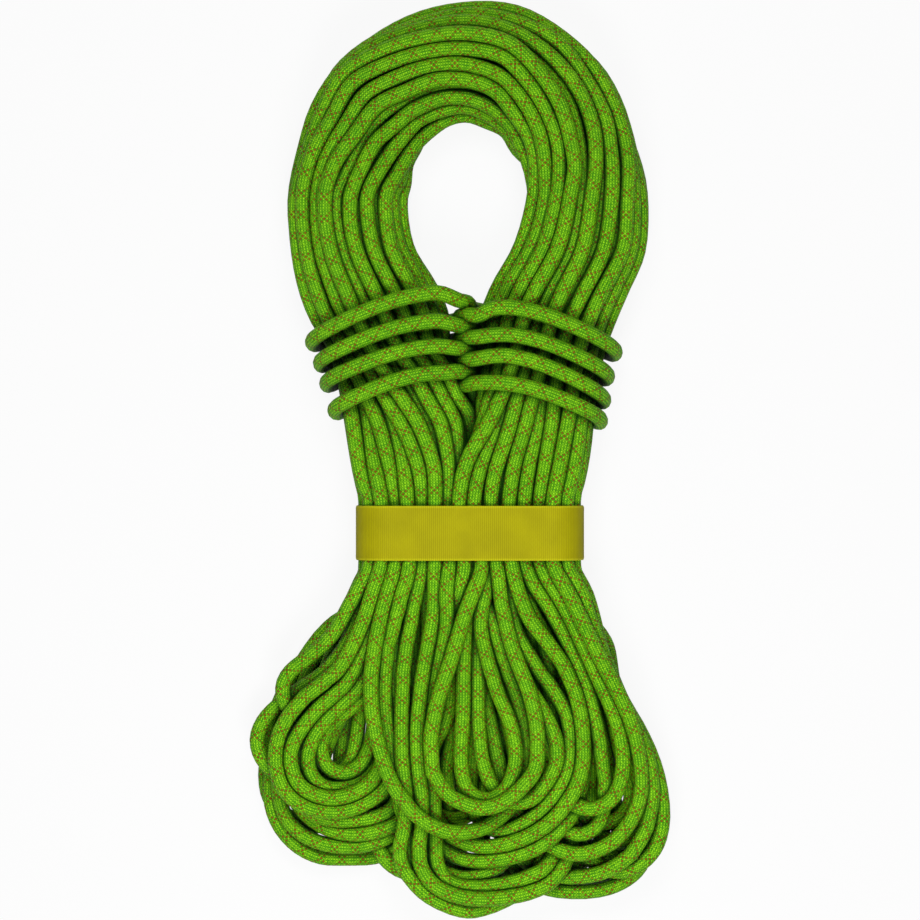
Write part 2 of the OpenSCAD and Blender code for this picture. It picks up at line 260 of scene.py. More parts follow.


# %% [markdown]
# ## Loops of the skirt
#
# At the end of a pass the rope turns round and goes back up. These bends hang
# below the band and lie over each other. The ones that show are drawn one by one,
# from the place where a strand leaves the band, round the bend and back to the
# band. Each has two heights above the ground, for its first and its second run,
# and each end asks for a row of the leg's section. The ends that lie out of sight
# only have to reach the band somewhere, and get the free slot that is nearest.


# %% Loops that are drawn one by one
def loop(name, side, z_first, z_second, row_first, row_second, route):
    """One loop of the skirt, with its route turned from the grid to millimetres."""
    return {
        "name": name,
        "side": side,
        "z": (z_first, z_second),
        "rows": (row_first, row_second),
        "route": [on_grid(*p) for p in route],
    }


DRAWN_LOOPS = [
    loop("right_1", RIGHT, 57, 57, 0, 0, [
        (475, 563), (467, 606), (452, 655), (438, 700), (432, 741), (436, 775), (448, 793), (465, 804),
        (485, 808), (507, 800), (525, 785), (536, 770), (538, 735), (530, 695), (515, 655), (504, 612),
        (492, 563)]),
    loop("right_2", RIGHT, 46, 47, 1, 1, [
        (472, 563), (465, 610), (462, 660), (462, 712), (461, 770), (470, 795), (487, 804), (504, 794),
        (514, 772), (516, 750), (511, 725), (497, 692), (485, 649), (479, 605), (481, 563)]),
    loop("right_3", RIGHT, 42, 43, 2, 2, [
        (473, 563), (477, 620), (478, 669), (479, 727), (483, 764), (495, 791), (511, 804), (526, 803),
        (541, 793), (556, 770), (556, 741), (544, 712), (527, 683), (515, 640), (508, 563)]),
    loop("right_4", RIGHT, 40, 24, 1, 3, [
        (516, 563), (518, 635), (532, 663), (553, 689), (568, 718), (570, 752), (561, 784), (544, 807),
        (522, 824), (500, 831), (482, 822), (473, 800), (474, 765), (480, 700), (482, 640), (478, 563)]),
    loop("right_5", RIGHT, 45, 27, 0, 2, [
        (507, 563), (526, 612), (546, 640), (566, 669), (579, 703), (583, 737), (581, 767), (573, 792),
        (558, 813), (538, 830), (515, 841), (490, 847), (468, 844), (447, 834), (432, 812), (425, 780),
        (432, 700), (455, 620), (472, 563)]),
    loop("right_6", RIGHT, 33, 20, 2, 4, [
        (522, 563), (540, 625), (566, 672), (582, 720), (585, 760), (577, 795), (565, 822), (545, 842),
        (515, 855), (480, 861), (455, 856), (438, 842), (425, 815), (425, 770), (440, 690), (470, 563)]),
    loop("right_7", RIGHT, 43, 26, 0, 2, [
        (530, 563), (550, 606), (570, 649), (585, 683), (597, 724), (603, 758), (606, 790), (600, 822),
        (582, 838), (562, 825), (550, 780), (545, 720), (535, 640), (530, 563)]),
    loop("right_8", RIGHT, 47, 30, 0, 3, [
        (544, 563), (560, 598), (579, 635), (599, 672), (614, 706), (622, 740), (621, 775), (610, 799),
        (593, 809), (575, 805), (560, 790), (552, 755), (548, 700), (540, 640), (530, 563)]),
    loop("right_9", RIGHT, 43, 24, 0, 3, [
        (559, 563), (575, 603), (596, 648), (617, 692), (632, 728), (640, 765), (640, 792), (632, 816),
        (618, 835), (600, 848), (578, 854), (556, 850), (533, 832), (516, 790), (520, 690), (545, 563)]),
    loop("right_10", RIGHT, 40, 21, 0, 4, [
        (569, 563), (582, 603), (597, 648), (616, 692), (635, 728), (649, 765), (651, 798), (645, 826),
        (632, 850), (614, 866), (594, 875), (570, 878), (545, 873), (525, 865), (505, 848), (495, 790),
        (512, 680), (535, 563)]),
    loop("right_11", RIGHT, 34, 17, 1, 3, [
        (576, 563), (585, 600), (597, 640), (607, 672), (621, 701), (638, 730), (651, 760), (659, 792),
        (661, 822), (655, 846), (641, 863), (621, 872), (598, 866), (580, 845), (568, 790), (565, 700),
        (560, 563)]),
    loop("right_12", RIGHT, 26, 14, 2, 4, [
        (573, 563), (581, 610), (596, 665), (618, 725), (640, 790), (648, 835), (640, 866), (622, 882),
        (600, 890), (570, 892), (545, 888), (520, 872), (500, 830), (500, 760), (520, 680), (548, 563)]),
    loop("left_1", LEFT, 56, 31, 0, 1, [
        (392, 563), (384, 600), (376, 645), (371, 680), (373, 720), (381, 755), (390, 780), (405, 803),
        (425, 822), (450, 832), (480, 829), (500, 817), (515, 800), (526, 765), (518, 700), (495, 640),
        (470, 590), (452, 563)]),
    loop("left_2", LEFT, 46, 31, 0, 2, [
        (437, 563), (434, 612), (425, 660), (419, 700), (416, 741), (418, 787), (421, 820), (418, 850),
        (421, 868), (432, 884), (450, 893), (475, 898), (500, 897), (525, 893), (548, 884), (566, 855),
        (566, 800), (535, 700), (490, 620), (448, 563)]),
    loop("left_3", LEFT, 43, 27, 0, 3, [
        (422, 563), (414, 612), (406, 655), (402, 712), (402, 758), (407, 800), (403, 830), (399, 850),
        (402, 866), (412, 880), (424, 892), (438, 901), (454, 908), (470, 911), (495, 905), (519, 893),
        (545, 865), (545, 780), (505, 660), (446, 563)]),
    loop("left_4", LEFT, 40, 24, 0, 2, [
        (407, 563), (400, 597), (392, 635), (387, 669), (386, 700), (389, 735), (396, 790), (406, 830),
        (408, 868), (419, 886), (440, 902), (468, 902), (495, 880), (505, 820), (485, 700), (437, 563)]),
    loop("left_5", LEFT, 38, 29, 0, 1, [
        (452, 563), (449, 612), (439, 660), (431, 712), (429, 760), (432, 800), (434, 835), (436, 865),
        (446, 882), (462, 887), (484, 888), (507, 885), (530, 878), (548, 865), (560, 820), (550, 750),
        (515, 670), (480, 610), (457, 563)]),
    loop("left_6", LEFT, 35, 26, 1, 3, [
        (440, 563), (430, 620), (421, 700), (421, 790), (424, 850), (434, 868), (450, 876), (467, 879),
        (485, 874), (499, 865), (514, 840), (516, 770), (490, 660), (443, 563)]),
    loop("left_7", LEFT, 45, 30, 0, 1, [
        (380, 563), (371, 605), (355, 645), (337, 672), (313, 692), (292, 713), (280, 735), (276, 755),
        (279, 778), (291, 797), (311, 808), (335, 811), (360, 805), (378, 794), (392, 775), (398, 740),
        (394, 690), (394, 630), (398, 563)]),
    loop("left_8", LEFT, 42, 27, 1, 1, [
        (376, 563), (366, 640), (345, 685), (320, 708), (301, 730), (291, 750), (291, 767), (299, 785),
        (314, 796), (335, 800), (358, 793), (376, 778), (388, 750), (388, 690), (388, 620), (390, 563)]),
    loop("left_9", LEFT, 40, 25, 1, 2, [
        (384, 563), (374, 640), (362, 682), (343, 702), (325, 722), (312, 742), (308, 760), (313, 777),
        (326, 788), (345, 789), (362, 783), (376, 768), (386, 740), (386, 690), (390, 620), (394, 563)]),
    loop("left_10", LEFT, 38, 23, 2, 3, [
        (386, 563), (378, 640), (366, 690), (350, 707), (333, 722), (322, 738), (321, 755), (328, 770),
        (344, 777), (359, 769), (370, 752), (376, 725), (380, 680), (388, 610), (396, 563)]),
    loop("left_11", LEFT, 33, 18, 1, 3, [
        (368, 563), (355, 625), (330, 668), (300, 690), (280, 705), (265, 720), (258, 738), (262, 756),
        (275, 771), (296, 782), (325, 784), (349, 765), (359, 715), (367, 650), (380, 563)]),
    loop("left_12", LEFT, 37, 15, 0, 3, [
        (364, 563), (351, 601), (332, 635), (309, 656), (291, 671), (283, 684), (285, 701), (297, 714),
        (316, 714), (336, 700), (352, 665), (366, 615), (375, 563)]),
    loop("left_13", LEFT, 28, 22, 2, 4, [
        (372, 563), (346, 640), (318, 705), (296, 762), (297, 795), (312, 813), (334, 820), (357, 821),
        (376, 819), (392, 811), (404, 785), (404, 720), (400, 640), (402, 563)]),
    loop("left_14", LEFT, 23, 18, 2, 4, [
        (368, 563), (340, 640), (308, 720), (290, 780), (298, 806), (314, 822), (335, 832), (360, 835),
        (385, 829), (405, 815), (412, 780), (408, 700), (408, 563)]),
    loop("left_15", LEFT, 19, 14, 3, 4, [
        (366, 563), (335, 645), (300, 720), (281, 780), (285, 810), (299, 830), (320, 842), (342, 846),
        (364, 844), (388, 835), (410, 815), (418, 770), (414, 680), (414, 563)]),
    loop("left_16", LEFT, 14, 10, 3, 5, [
        (364, 563), (330, 645), (292, 715), (273, 765), (272, 803), (282, 829), (300, 848), (322, 858),
        (347, 859), (372, 857), (396, 846), (414, 820), (418, 760), (412, 660), (405, 563)]),
    loop("left_17", LEFT, 15, 12, 4, 4, [
        (398, 563), (390, 650), (381, 740), (376, 800), (378, 835), (387, 858), (404, 872), (425, 872),
        (441, 856), (448, 830), (444, 750), (432, 650), (425, 563)]),
]
print("drawn loops", len(DRAWN_LOOPS))

# %% [markdown]
# ## Loops at the bottom of the heap
#
# The other loops lie at the back, on the ground, and show only through the gaps
# between the ones above. They are drawn more simply: one bend each, and narrower.
# Together with the drawn ones they use up every slot of both legs, apart from two
# on the left, where the rope begins and where its last pass goes over into the
# lashing.

# %% Loops at the bottom
LOW_Z = FLOOR_Z + 1.0
BEND_STEPS = (170, 135, 100, 70, 35, 5)


def low_loop(name, side, rows, first, middle, radius, second, lift=0.0):
    """A hidden loop: down through some places, round half a circle, and up again.

    All places are on the grid, and the bend starts on its left side."""
    bend = [
        (middle[0] + radius * math.cos(math.radians(t)), middle[1] + radius * math.sin(math.radians(t)))
        for t in BEND_STEPS
    ]
    return loop(name, side, LOW_Z + lift, LOW_Z + lift, *rows, [*first, *bend, *second])


LOW_LOOPS = [
    low_loop("low_1", RIGHT, (3, 4), [(470, 563), (452, 650), (440, 720)], (451, 790), 31, [
        (482, 725), (487, 650), (484, 563)], 10.0),
    low_loop("low_2", RIGHT, (4, 4), [(495, 563), (500, 650), (502, 720)], (533, 782), 31, [
        (556, 720), (530, 650), (508, 563)], 10.0),
    low_loop("low_3", RIGHT, (3, 4), [(530, 563), (550, 650), (566, 720)], (598, 796), 31, [
        (610, 740), (585, 660), (550, 563)], 12.0),
    low_loop("low_4", RIGHT, (3, 4), [(555, 563), (572, 650), (590, 720)], (622, 815), 31, [
        (636, 750), (600, 670), (565, 563)], 8.0),
    low_loop("low_5", RIGHT, (5, 5), [(520, 563), (524, 680), (522, 760)], (564, 826), 42, [
        (598, 750), (575, 660), (545, 563)], 4.0),
    low_loop("low_6", RIGHT, (4, 5), [(480, 563), (465, 680), (450, 770)], (482, 837), 38, [
        (524, 760), (512, 660), (505, 563)], 4.0),
    low_loop("low_7", RIGHT, (3, 5), [(560, 563), (576, 660), (584, 750)], (612, 820), 31, [
        (634, 760), (602, 670), (570, 563)]),
    low_loop("low_8", RIGHT, (5, 5), [(535, 563), (545, 680), (552, 780)], (585, 850), 32, [
        (606, 770), (580, 670), (545, 563)]),
    low_loop("low_9", RIGHT, (5, 5), [(478, 563), (476, 680), (482, 780)], (522, 846), 36, [
        (554, 790), (530, 690), (510, 563)]),
    low_loop("low_10", LEFT, (4, 5), [(376, 563), (362, 650), (337, 712)], (362, 776), 37, [
        (394, 720), (394, 640), (390, 563)], 8.0),
    low_loop("low_11", LEFT, (4, 5), [(366, 563), (334, 625), (301, 668), (276, 716)], (306, 793), 36, [
        (342, 730), (354, 650), (372, 563)], 4.0),
    low_loop("low_12", LEFT, (5, 5), [(410, 563), (398, 680), (392, 780)], (424, 842), 34, [
        (455, 780), (435, 670), (420, 563)]),
]
loops = DRAWN_LOOPS + LOW_LOOPS
print("loops", len(loops))

# %% [markdown]
# ## Which slot each loop's end takes
#
# Every end of a loop asks for a row and a place across, and the rows are filled
# from the front, each end taking the free slot that lies nearest to its wish.

# %% Slots for the ends of the loops
START_SLOT_AT = (-22.1, LEG_MID_Z - WAIST_HALF_H)
HAND_OVER_SLOT_AT = (-50.0, LEG_MID_Z - WAIST_HALF_H)
ROW_WEIGHT = 12.0


def take(free, cost):
    """The cheapest free slot, which is then no longer free."""
    chosen = min(sorted(free), key=cost)
    free.remove(chosen)
    return chosen


def place_cost(side, place):
    """How far a slot lies from a place under the band."""
    return lambda i: math.dist(waist_place(side, i), place)


def wish_cost(side, x, row):
    """How badly a slot suits a loop's end that asks for a place across and a row."""
    rows = len(ROWS[side]) - 1

    def cost(i):
        slot_row = (1 - SLOTS[side][i][1]) / 2 * rows
        return (waist_place(side, i)[0] - x) ** 2 + (ROW_WEIGHT * (slot_row - row)) ** 2

    return cost


free_slots = {side: set(range(PASSES)) for side in (LEFT, RIGHT)}
start_slot = take(free_slots[LEFT], place_cost(LEFT, START_SLOT_AT))
last_slot = take(free_slots[LEFT], place_cost(LEFT, HAND_OVER_SLOT_AT))
for wished_row in range(len(ROWS[LEFT])):
    for one in loops:
        for end in (0, 1):
            if one["rows"][end] == wished_row:
                side, x = one["side"], one["route"][-end][0]
                taken = take(free_slots[side], wish_cost(side, x, wished_row))
                one.setdefault("slots", [None, None])[end] = taken
print("slots left over", {side: len(free) for side, free in free_slots.items()})

# %% [markdown]
# ## One rope from end to end
#
# Now every slot of a leg is joined to another by a loop, and the arch joins the
# slots of the two legs. Following those joins has to give one single line with two
# ends, but it may also give closed rings. A ring is opened by letting two
# neighbouring strands, one of the ring and one of the line, change places over
# the arch. That costs nothing, because strands do wander by one place.

# %% Which slot goes over the arch to which
partner = {LEFT: {}, RIGHT: {}}
loop_of = {LEFT: {}, RIGHT: {}}
for one in loops:
    a, b = one["slots"]
    partner[one["side"]][a], partner[one["side"]][b] = b, a
    loop_of[one["side"]][a] = (one, False)
    loop_of[one["side"]][b] = (one, True)

SECTION_MM = np.array([36.0, 24.0])
LEAST_GAIN = 1e-6
arrived_at = {
    side: np.array([arch_place(side, p, ARCH_ANGLES[-1]) for p in ARCH_SLOTS]) for side in (LEFT, RIGHT)
}


def arch_cost(side, i, k):
    """How far slot k of the arch lies from slot i of a leg, turned by the leg's twist."""
    came_from = turned(SLOTS[side][i], LEG_TWIST[side])
    return float(np.sum(((came_from - arrived_at[side][k]) * SECTION_MM) ** 2))


def matched(side):
    """Arch slot of each leg slot, improved by swaps until none helps."""
    arch = list(range(PASSES))
    changed = True
    while changed:
        changed = False
        for i in range(PASSES):
            for j in range(i + 1, PASSES):
                kept = arch_cost(side, i, arch[i]) + arch_cost(side, j, arch[j])
                if arch_cost(side, i, arch[j]) + arch_cost(side, j, arch[i]) < kept - LEAST_GAIN:
                    arch[i], arch[j] = arch[j], arch[i]
                    changed = True
    return arch


arch_of = {side: matched(side) for side in (LEFT, RIGHT)}
over = [arch_of[RIGHT].index(arch_of[LEFT][i]) for i in range(PASSES)]


def over_cost(i, right):
    """How badly a slot of the right leg suits the strand that left slot i sends over."""
    return arch_cost(RIGHT, right, arch_of[LEFT][i])


def swap_cost(i, j):
    """What it costs when left slots i and j change their places over the arch."""
    return over_cost(i, over[j]) + over_cost(j, over[i]) - over_cost(i, over[i]) - over_cost(j, over[j])


def follow(start):
    """Left slots in the order in which the rope comes to them, from one of them."""
    back = {right: left for left, right in enumerate(over)}
    visited, left = [], start
    while left is not None and left not in visited:
        visited.append(left)
        arrived = back[partner[RIGHT][over[left]]]
        visited.append(arrived)
        left = partner[LEFT].get(arrived)
    return visited


line = follow(start_slot)
while len(line) < PASSES:
    inside = set(line)
    swaps = [(swap_cost(i, j), i, j) for i in inside for j in range(PASSES) if j not in inside]
    _, i, j = min(swaps)
    over[i], over[j] = over[j], over[i]
    line = follow(start_slot)
print("passes in one line", len(line), "last slot", line[-1], "wished", last_slot)

# %% [markdown]
# ## The lashing
#
# The last pass doesn't end in a loop. It comes out at the back of the left leg and
# goes on as the lashing: behind a leg, round its outer side, over its front and
# down through the gap, then the same round the other leg. Each turn is named by
# three heights and one width: where it comes out of the gap and dives back into it,
# and how far out and how low it goes round the outer side. After the last dive the
# rope drops to the ground behind the left leg and ends there.

# %% Route of the lashing
LASH_TURNS = [
    # side, height at the gap, height of the dive, outermost place, height there
    (LEFT, 106.7, 99.0, -95.6, 76.0),
    (RIGHT, 98.0, 91.5, 99.3, 69.5),
    (LEFT, 88.7, 85.5, -89.8, 62.5),
    (RIGHT, 80.0, 78.5, 95.4, 53.5),
    (LEFT, 73.2, 71.5, -85.4, 49.6),
    (RIGHT, 67.0, 65.0, 91.8, 38.6),
    (LEFT, 55.8, 57.5, -81.4, 31.5),
    (RIGHT, 49.5, 50.5, 90.0, 25.5),
]
FRONT_FROM = {LEFT: -13.0, RIGHT: 24.5}
DIVE_X = {LEFT: 6.5, RIGHT: 0.0}
DIVE_SHARE = 0.2
FRONT_POWER = 1.8
LASH_HALF_H = ARCH_HALF_H + ROPE_D
SQUARENESS = 2.7
BACK_RISE = 5.0
HOOK, HOOK_POWER = 4.0, 4
LEAD = [(-75.5, 122.0, 12.5), (-68.5, 108.5, 7.5), (-65.0, 96.0, 5.6), (-69.0, 84.5, 5.4)]
LEAD_ON_FROM = -60
ANGLE_STEP = 15
# After the last dive: place across, height below that dive, level above the ground.
DROP = ((-5.5, 3.0, 27.0), (-9.5, 8.5, 14.5), (-17.5, 15.0, 7.5))
FINISH_END = np.array([-39.56, 30.6, 5.35])
FINISH_RUN = (11.5, 0.6, 0.1)


def rounded(t):
    """Places out and up on a rounded rectangle, each from -1 to 1, at an angle t."""
    cos, sin = math.cos(math.radians(t)), math.sin(math.radians(t))
    return (
        math.copysign(abs(cos) ** (2 / SQUARENESS), cos),
        math.copysign(abs(sin) ** (2 / SQUARENESS), sin),
    )


def front_height(turn, x):
    """How high up the hank a turn lies at a place across, on its way over the front."""
    side, gap_y, dive_y, out_x, out_y = turn
    t = (x - FRONT_FROM[side]) / (out_x - FRONT_FROM[side])
    height = gap_y + (out_y - gap_y) * max(t, 0.0) ** FRONT_POWER
    return height + (dive_y - gap_y) * smooth_step(-t / DIVE_SHARE)


def half_lobe(turn, gap_x, angles, height):
    """Points of one lobe, behind the leg or over its front.

    The strand sinks a little as it goes round the outer side to the back."""
    side, _, _, out_x, _ = turn
    middle, half = (gap_x + out_x) / 2, abs(out_x - gap_x) / 2
    points = []
    for t in angles:
        out, up = rounded(t)
        x = middle + side * half * out
        y = height(x) + HOOK * up * max(out, 0.0) ** HOOK_POWER
        points.append((x, y, LEG_MID_Z + up * LASH_HALF_H))
    return points


def lashing_route():
    """From the left leg's back, through all turns, to the rope's end."""
    points = list(LEAD)
    gap_x, gap_y = LEAD[-1][:2]
    for n, turn in enumerate(LASH_TURNS):
        side, _, dive_y, out_x, out_y = turn

        def back_height(x, n=n, gap_x=gap_x, gap_y=gap_y, out_x=out_x, out_y=out_y):
            share = min(max((x - gap_x) / (out_x - gap_x), 0.0), 1.0)
            rise = BACK_RISE * math.sin(math.pi * share) if n else 0.0
            return gap_y + (out_y - gap_y) * share + rise

        back_angles = range(ANGLE_STEP - 180 if n else LEAD_ON_FROM, 0, ANGLE_STEP)
        front_angles = range(0, 181, ANGLE_STEP)
        points += half_lobe(turn, gap_x if n else DIVE_X[RIGHT], back_angles, back_height)
        points += half_lobe(turn, DIVE_X[side], front_angles, lambda x, turn=turn: front_height(turn, x))
        gap_x, gap_y = DIVE_X[side], dive_y
    points += [(x, gap_y - below, z) for x, below, z in DROP]
    points.append(tuple(FINISH_END + FINISH_RUN))
    points.append(tuple(FINISH_END))
    return points


# %% [markdown]
# ## The whole route
#
# The passes, the loops and the lashing are joined into one list of control points.
# Each point also carries how firmly it holds its place: strands that are drawn
# hold, strands out of sight give way.

# %% Whole route
HOLD_DRAWN, HOLD_HIDDEN, HOLD_LEG, HOLD_LASHING = 0.05, 0.008, 0.014, 0.06
START_END = np.array([-22.1, -112.4, 14.5])
START_RUN = (0.0, 12.0, 0.0)
SETTLE_OVER = 110.0
CHANGE_FROM, CHANGE_OVER = 0.4, 0.25
WANDER = 0.03
WANDER_SEED = 100
LEAD_FROM_Y = 130.0
FINE_STEP = 1.0


def arc_lengths(points):
    """How far along a line each of its points lies."""
    steps = np.linalg.norm(np.diff(points, axis=0), axis=1)
    return np.concatenate([[0.0], np.cumsum(steps)])


def spline_through(points, step):
    """A smooth line through control points, cut into even steps.

    It is a Catmull-Rom spline whose knots are the square roots of the spacings, so
    that it neither overshoots nor loops where the points are unevenly spaced."""
    points = np.asarray(points, float)
    padded = np.vstack([2 * points[0] - points[1], points, 2 * points[-1] - points[-2]])
    pieces = []
    for i in range(len(points) - 1):
        p0, p1, p2, p3 = padded[i : i + 4]
        t0, t1 = 0.0, max(np.linalg.norm((p1 - p0)[:3]), 1e-6) ** 0.5
        t2 = t1 + max(np.linalg.norm((p2 - p1)[:3]), 1e-6) ** 0.5
        t3 = t2 + max(np.linalg.norm((p3 - p2)[:3]), 1e-6) ** 0.5
        count = max(int(np.linalg.norm((p2 - p1)[:3]) / FINE_STEP), 2)
        t = np.linspace(t1, t2, count, endpoint=False)[:, None]
        a1 = (t1 - t) / (t1 - t0) * p0 + (t - t0) / (t1 - t0) * p1
        a2 = (t2 - t) / (t2 - t1) * p1 + (t - t1) / (t2 - t1) * p2
        a3 = (t3 - t) / (t3 - t2) * p2 + (t - t2) / (t3 - t2) * p3
        b1 = (t2 - t) / (t2 - t0) * a1 + (t - t0) / (t2 - t0) * a2
        b2 = (t3 - t) / (t3 - t1) * a2 + (t - t1) / (t3 - t1) * a3
        pieces.append((t2 - t) / (t2 - t1) * b1 + (t - t1) / (t2 - t1) * b2)
    fine = np.vstack(pieces + [points[-1:]])
    along = arc_lengths(fine[:, :3])
    even = np.linspace(0.0, along[-1], int(round(along[-1] / step)) + 1)
    return np.column_stack([np.interp(even, along, fine[:, k]) for k in range(fine.shape[1])])


def loop_points(one, backwards):
    """A loop's control points in space, in the direction of travel."""
    flat = np.array(one["route"], float)
    flat = np.column_stack(seen_at(flat[:, 0], flat[:, 1], sum(one["z"]) / 2))
    ends = [waist_place(one["side"], i) for i in one["slots"]]
    flat[0, 0], flat[-1, 0] = ends[0][0], ends[1][0]
    along = arc_lengths(flat)
    total = along[-1]
    z = []
    for s in along:
        turn = smooth_step((s / total - CHANGE_FROM) / CHANGE_OVER)
        level = one["z"][0] + (one["z"][1] - one["z"][0]) * turn
        from_first = smooth_step(s / SETTLE_OVER)
        from_second = smooth_step((total - s) / SETTLE_OVER)
        at = ends[0][1] + (level - ends[0][1]) * from_first
        z.append(at + (ends[1][1] - at) * (1 - from_second))
    hold = HOLD_HIDDEN if one in LOW_LOOPS else HOLD_DRAWN
    points = np.column_stack([flat, z, np.full(len(flat), hold)])[1:-1]
    return points[::-1] if backwards else points


def leg_run(side, slot_index, arch_slot, upwards):
    """A strand's control points along one leg, in the direction of travel."""
    random = np.random.default_rng(WANDER_SEED + 2 * arch_slot + (side > 0))
    wander = random.normal(0, WANDER, (len(ARCH_ANGLES), 2))
    wander[0] = 0.0
    points = leg_course(side, SLOTS[side][slot_index], ARCH_SLOTS[arch_slot], wander)
    points = np.column_stack([points, np.full(len(points), HOLD_LEG)])
    return points[::-1] if upwards else points


def pass_run(left, right, rightwards):
    """Up one leg, over the arch and down the other."""
    up_left = leg_run(LEFT, left, arch_of[LEFT][left], True)
    down_right = leg_run(RIGHT, right, arch_of[LEFT][left], False)
    top = (up_left[-1] + down_right[0]) / 2
    run = np.vstack([up_left[:-1], top, down_right[1:]])
    return run if rightwards else run[::-1]


route = [[*START_END, HOLD_DRAWN], [*(START_END + START_RUN), HOLD_DRAWN]]
for n, left in enumerate(line):
    rightwards = n % 2 == 0
    run = pass_run(left, over[left], rightwards)
    if n == PASSES - 1:
        run = run[(run[:, 0] > 0.0) | (run[:, 1] > LEAD_FROM_Y)]
        route += [list(p) for p in run]
        break
    route += [list(p) for p in run]
    side = RIGHT if rightwards else LEFT
    at_slot = over[left] if rightwards else left
    one, backwards = loop_of[side][at_slot]
    route += [list(p) for p in loop_points(one, backwards)]
route += [[*p, HOLD_LASHING] for p in lashing_route()]
rope = spline_through(route, STEP)
hold_xy = rope[:, 3]
rope = rope[:, :3]
print("points", len(rope), "length", round(arc_lengths(rope)[-1] / 1000, 2), "m")

# %% [markdown]
# ## Letting the strands settle
#
# The route says where each strand wants to be, but drawn lines run through each
# other. Real strands push each other aside. A short settling does the same: all
# points that are nearer to each other than one rope diameter are pushed apart,
# the push is spread along the strand so that it stays smooth, the ground and the
# band hold everything in, and each point is drawn back a little to its place.
# Working on the *shift* from the drawn place, rather than on the place itself,
# keeps bends from shrinking. Nothing is random here but a small fixed waviness.
#
# Finding every pair that may touch is the slow part, so it is done only now and
# then, and on a grid of cells: a point can only touch points of its own cell and of
# the cells round it.

# %% Pairs of points that may touch
REACH = 12.5
NEIGHBOUR_SKIP = 6


def near_pairs(points):
    """Index pairs of points that are nearer than REACH, found with a cell grid."""
    cells = np.floor((points - points.min(0)) / REACH).astype(np.int64) + 1
    size = cells.max(0) + 2
    key = (cells[:, 0] * size[1] + cells[:, 1]) * size[2] + cells[:, 2]
    order = np.argsort(key, kind="stable")
    ordered = key[order]
    found = []
    offsets = [(x, y, z) for x in (-1, 0, 1) for y in (-1, 0, 1) for z in (-1, 0, 1)]
    for x, y, z in [o for o in offsets if o >= (0, 0, 0)]:
        other = key + (x * size[1] + y) * size[2] + z
        first = np.searchsorted(ordered, other, "left")
        count = np.searchsorted(ordered, other, "right") - first
        mine = np.repeat(np.arange(len(points)), count)
        start = np.repeat(np.cumsum(count) - count, count)
        theirs = order[np.arange(len(mine)) - start + np.repeat(first, count)]
        good = mine < theirs if (x, y, z) == (0, 0, 0) else mine != theirs
        mine, theirs = mine[good], theirs[good]
        apart = np.abs(mine - theirs) > NEIGHBOUR_SKIP
        mine, theirs = mine[apart], theirs[apart]
        near = np.sum((points[mine] - points[theirs]) ** 2, axis=1) < REACH**2
        found.append(np.column_stack([mine[near], theirs[near]]))
    return np.vstack(found)


# %% What holds the strands in
BAND_LOW, BAND_HIGH = -64.4, -29.4
BAND_MIDDLE_X = 6.4
BAND_CLEAR = (67.0, 24.5)
BAND_CORNER = 15.0
BAND_EASE = 12.0
LEAST_BEND = 18.0
BOW_MIDDLE, BOW_ENDS = 0.5, 0.2


def keep_in_band(points):
    """Strands under the band stay inside its rounded section, and ease out beside it."""
    y = points[:, 1]
    inwards = np.minimum(y - BAND_LOW + BAND_EASE, BAND_HIGH + BAND_EASE - y)
    weight = np.clip(inwards / BAND_EASE, 0, 1)
    inside = np.nonzero(weight > 0)[0]
    w = weight[inside][:, None]
    p = points[inside][:, [0, 2]] - [BAND_MIDDLE_X, LEG_MID_Z]
    core = np.array(BAND_CLEAR) - BAND_CORNER
    over_core = p - np.clip(p, -core, core)
    distance = np.linalg.norm(over_core, axis=1, keepdims=True)
    excess = np.clip(distance - BAND_CORNER, 0, None)
    shift = -over_core / np.maximum(distance, 1e-9) * excess * w
    points[inside, 0] += shift[:, 0]
    points[inside, 2] += shift[:, 1]


def straightened(points):
    """How far each point has to move so that no bend is tighter than LEAST_BEND."""
    chord = (points[4:] - points[:-4]) / 2
    middle = (points[4:] + points[:-4]) / 2
    bow = middle - points[2:-2]
    sag = np.linalg.norm(bow, axis=1, keepdims=True)
    allowed = np.sum(chord**2, axis=1, keepdims=True) / (2 * LEAST_BEND)
    move = np.zeros_like(points)
    share = np.clip(sag - allowed, 0, None) / np.maximum(sag, 1e-9)
    move[2:-2] += bow * share * BOW_MIDDLE
    move[:-4] -= bow * share * BOW_ENDS
    move[4:] -= bow * share * BOW_ENDS
    return move


# %% Settling
ROUNDS = 700
ROUNDS_A_SEARCH, ROUNDS_A_REPORT = 10, 60
WAVE_SEED, WAVE_POINTS, WAVE_MM = 7, 31, 4.5
WAVE_AXES = (1, 0.4, 0.6)
WAVE_DRAWN = 0.5
PULL_UP_MOST, PULL_UP_SHARE = 0.02, 0.25
END_POINTS, END_PULL = 3, 0.5
PUSH_SHARE, CROWDING = 0.9, 0.6
SINK = 0.012
SPREAD = 0.35
STRAIGHTEN_SHARE = 0.7


def waved(home, hold):
    """The drawn line with a small, smooth waviness, half as much where it is drawn."""
    random = np.random.default_rng(WAVE_SEED)
    wave = random.normal(0, 1, (len(home), 3))
    kernel = np.hanning(WAVE_POINTS)
    kernel /= kernel.sum()
    for k in range(3):
        wave[:, k] = np.convolve(wave[:, k], kernel, "same") * WAVE_MM
    return home + wave * np.where(hold < HOLD_DRAWN, 1.0, WAVE_DRAWN)[:, None] * WAVE_AXES


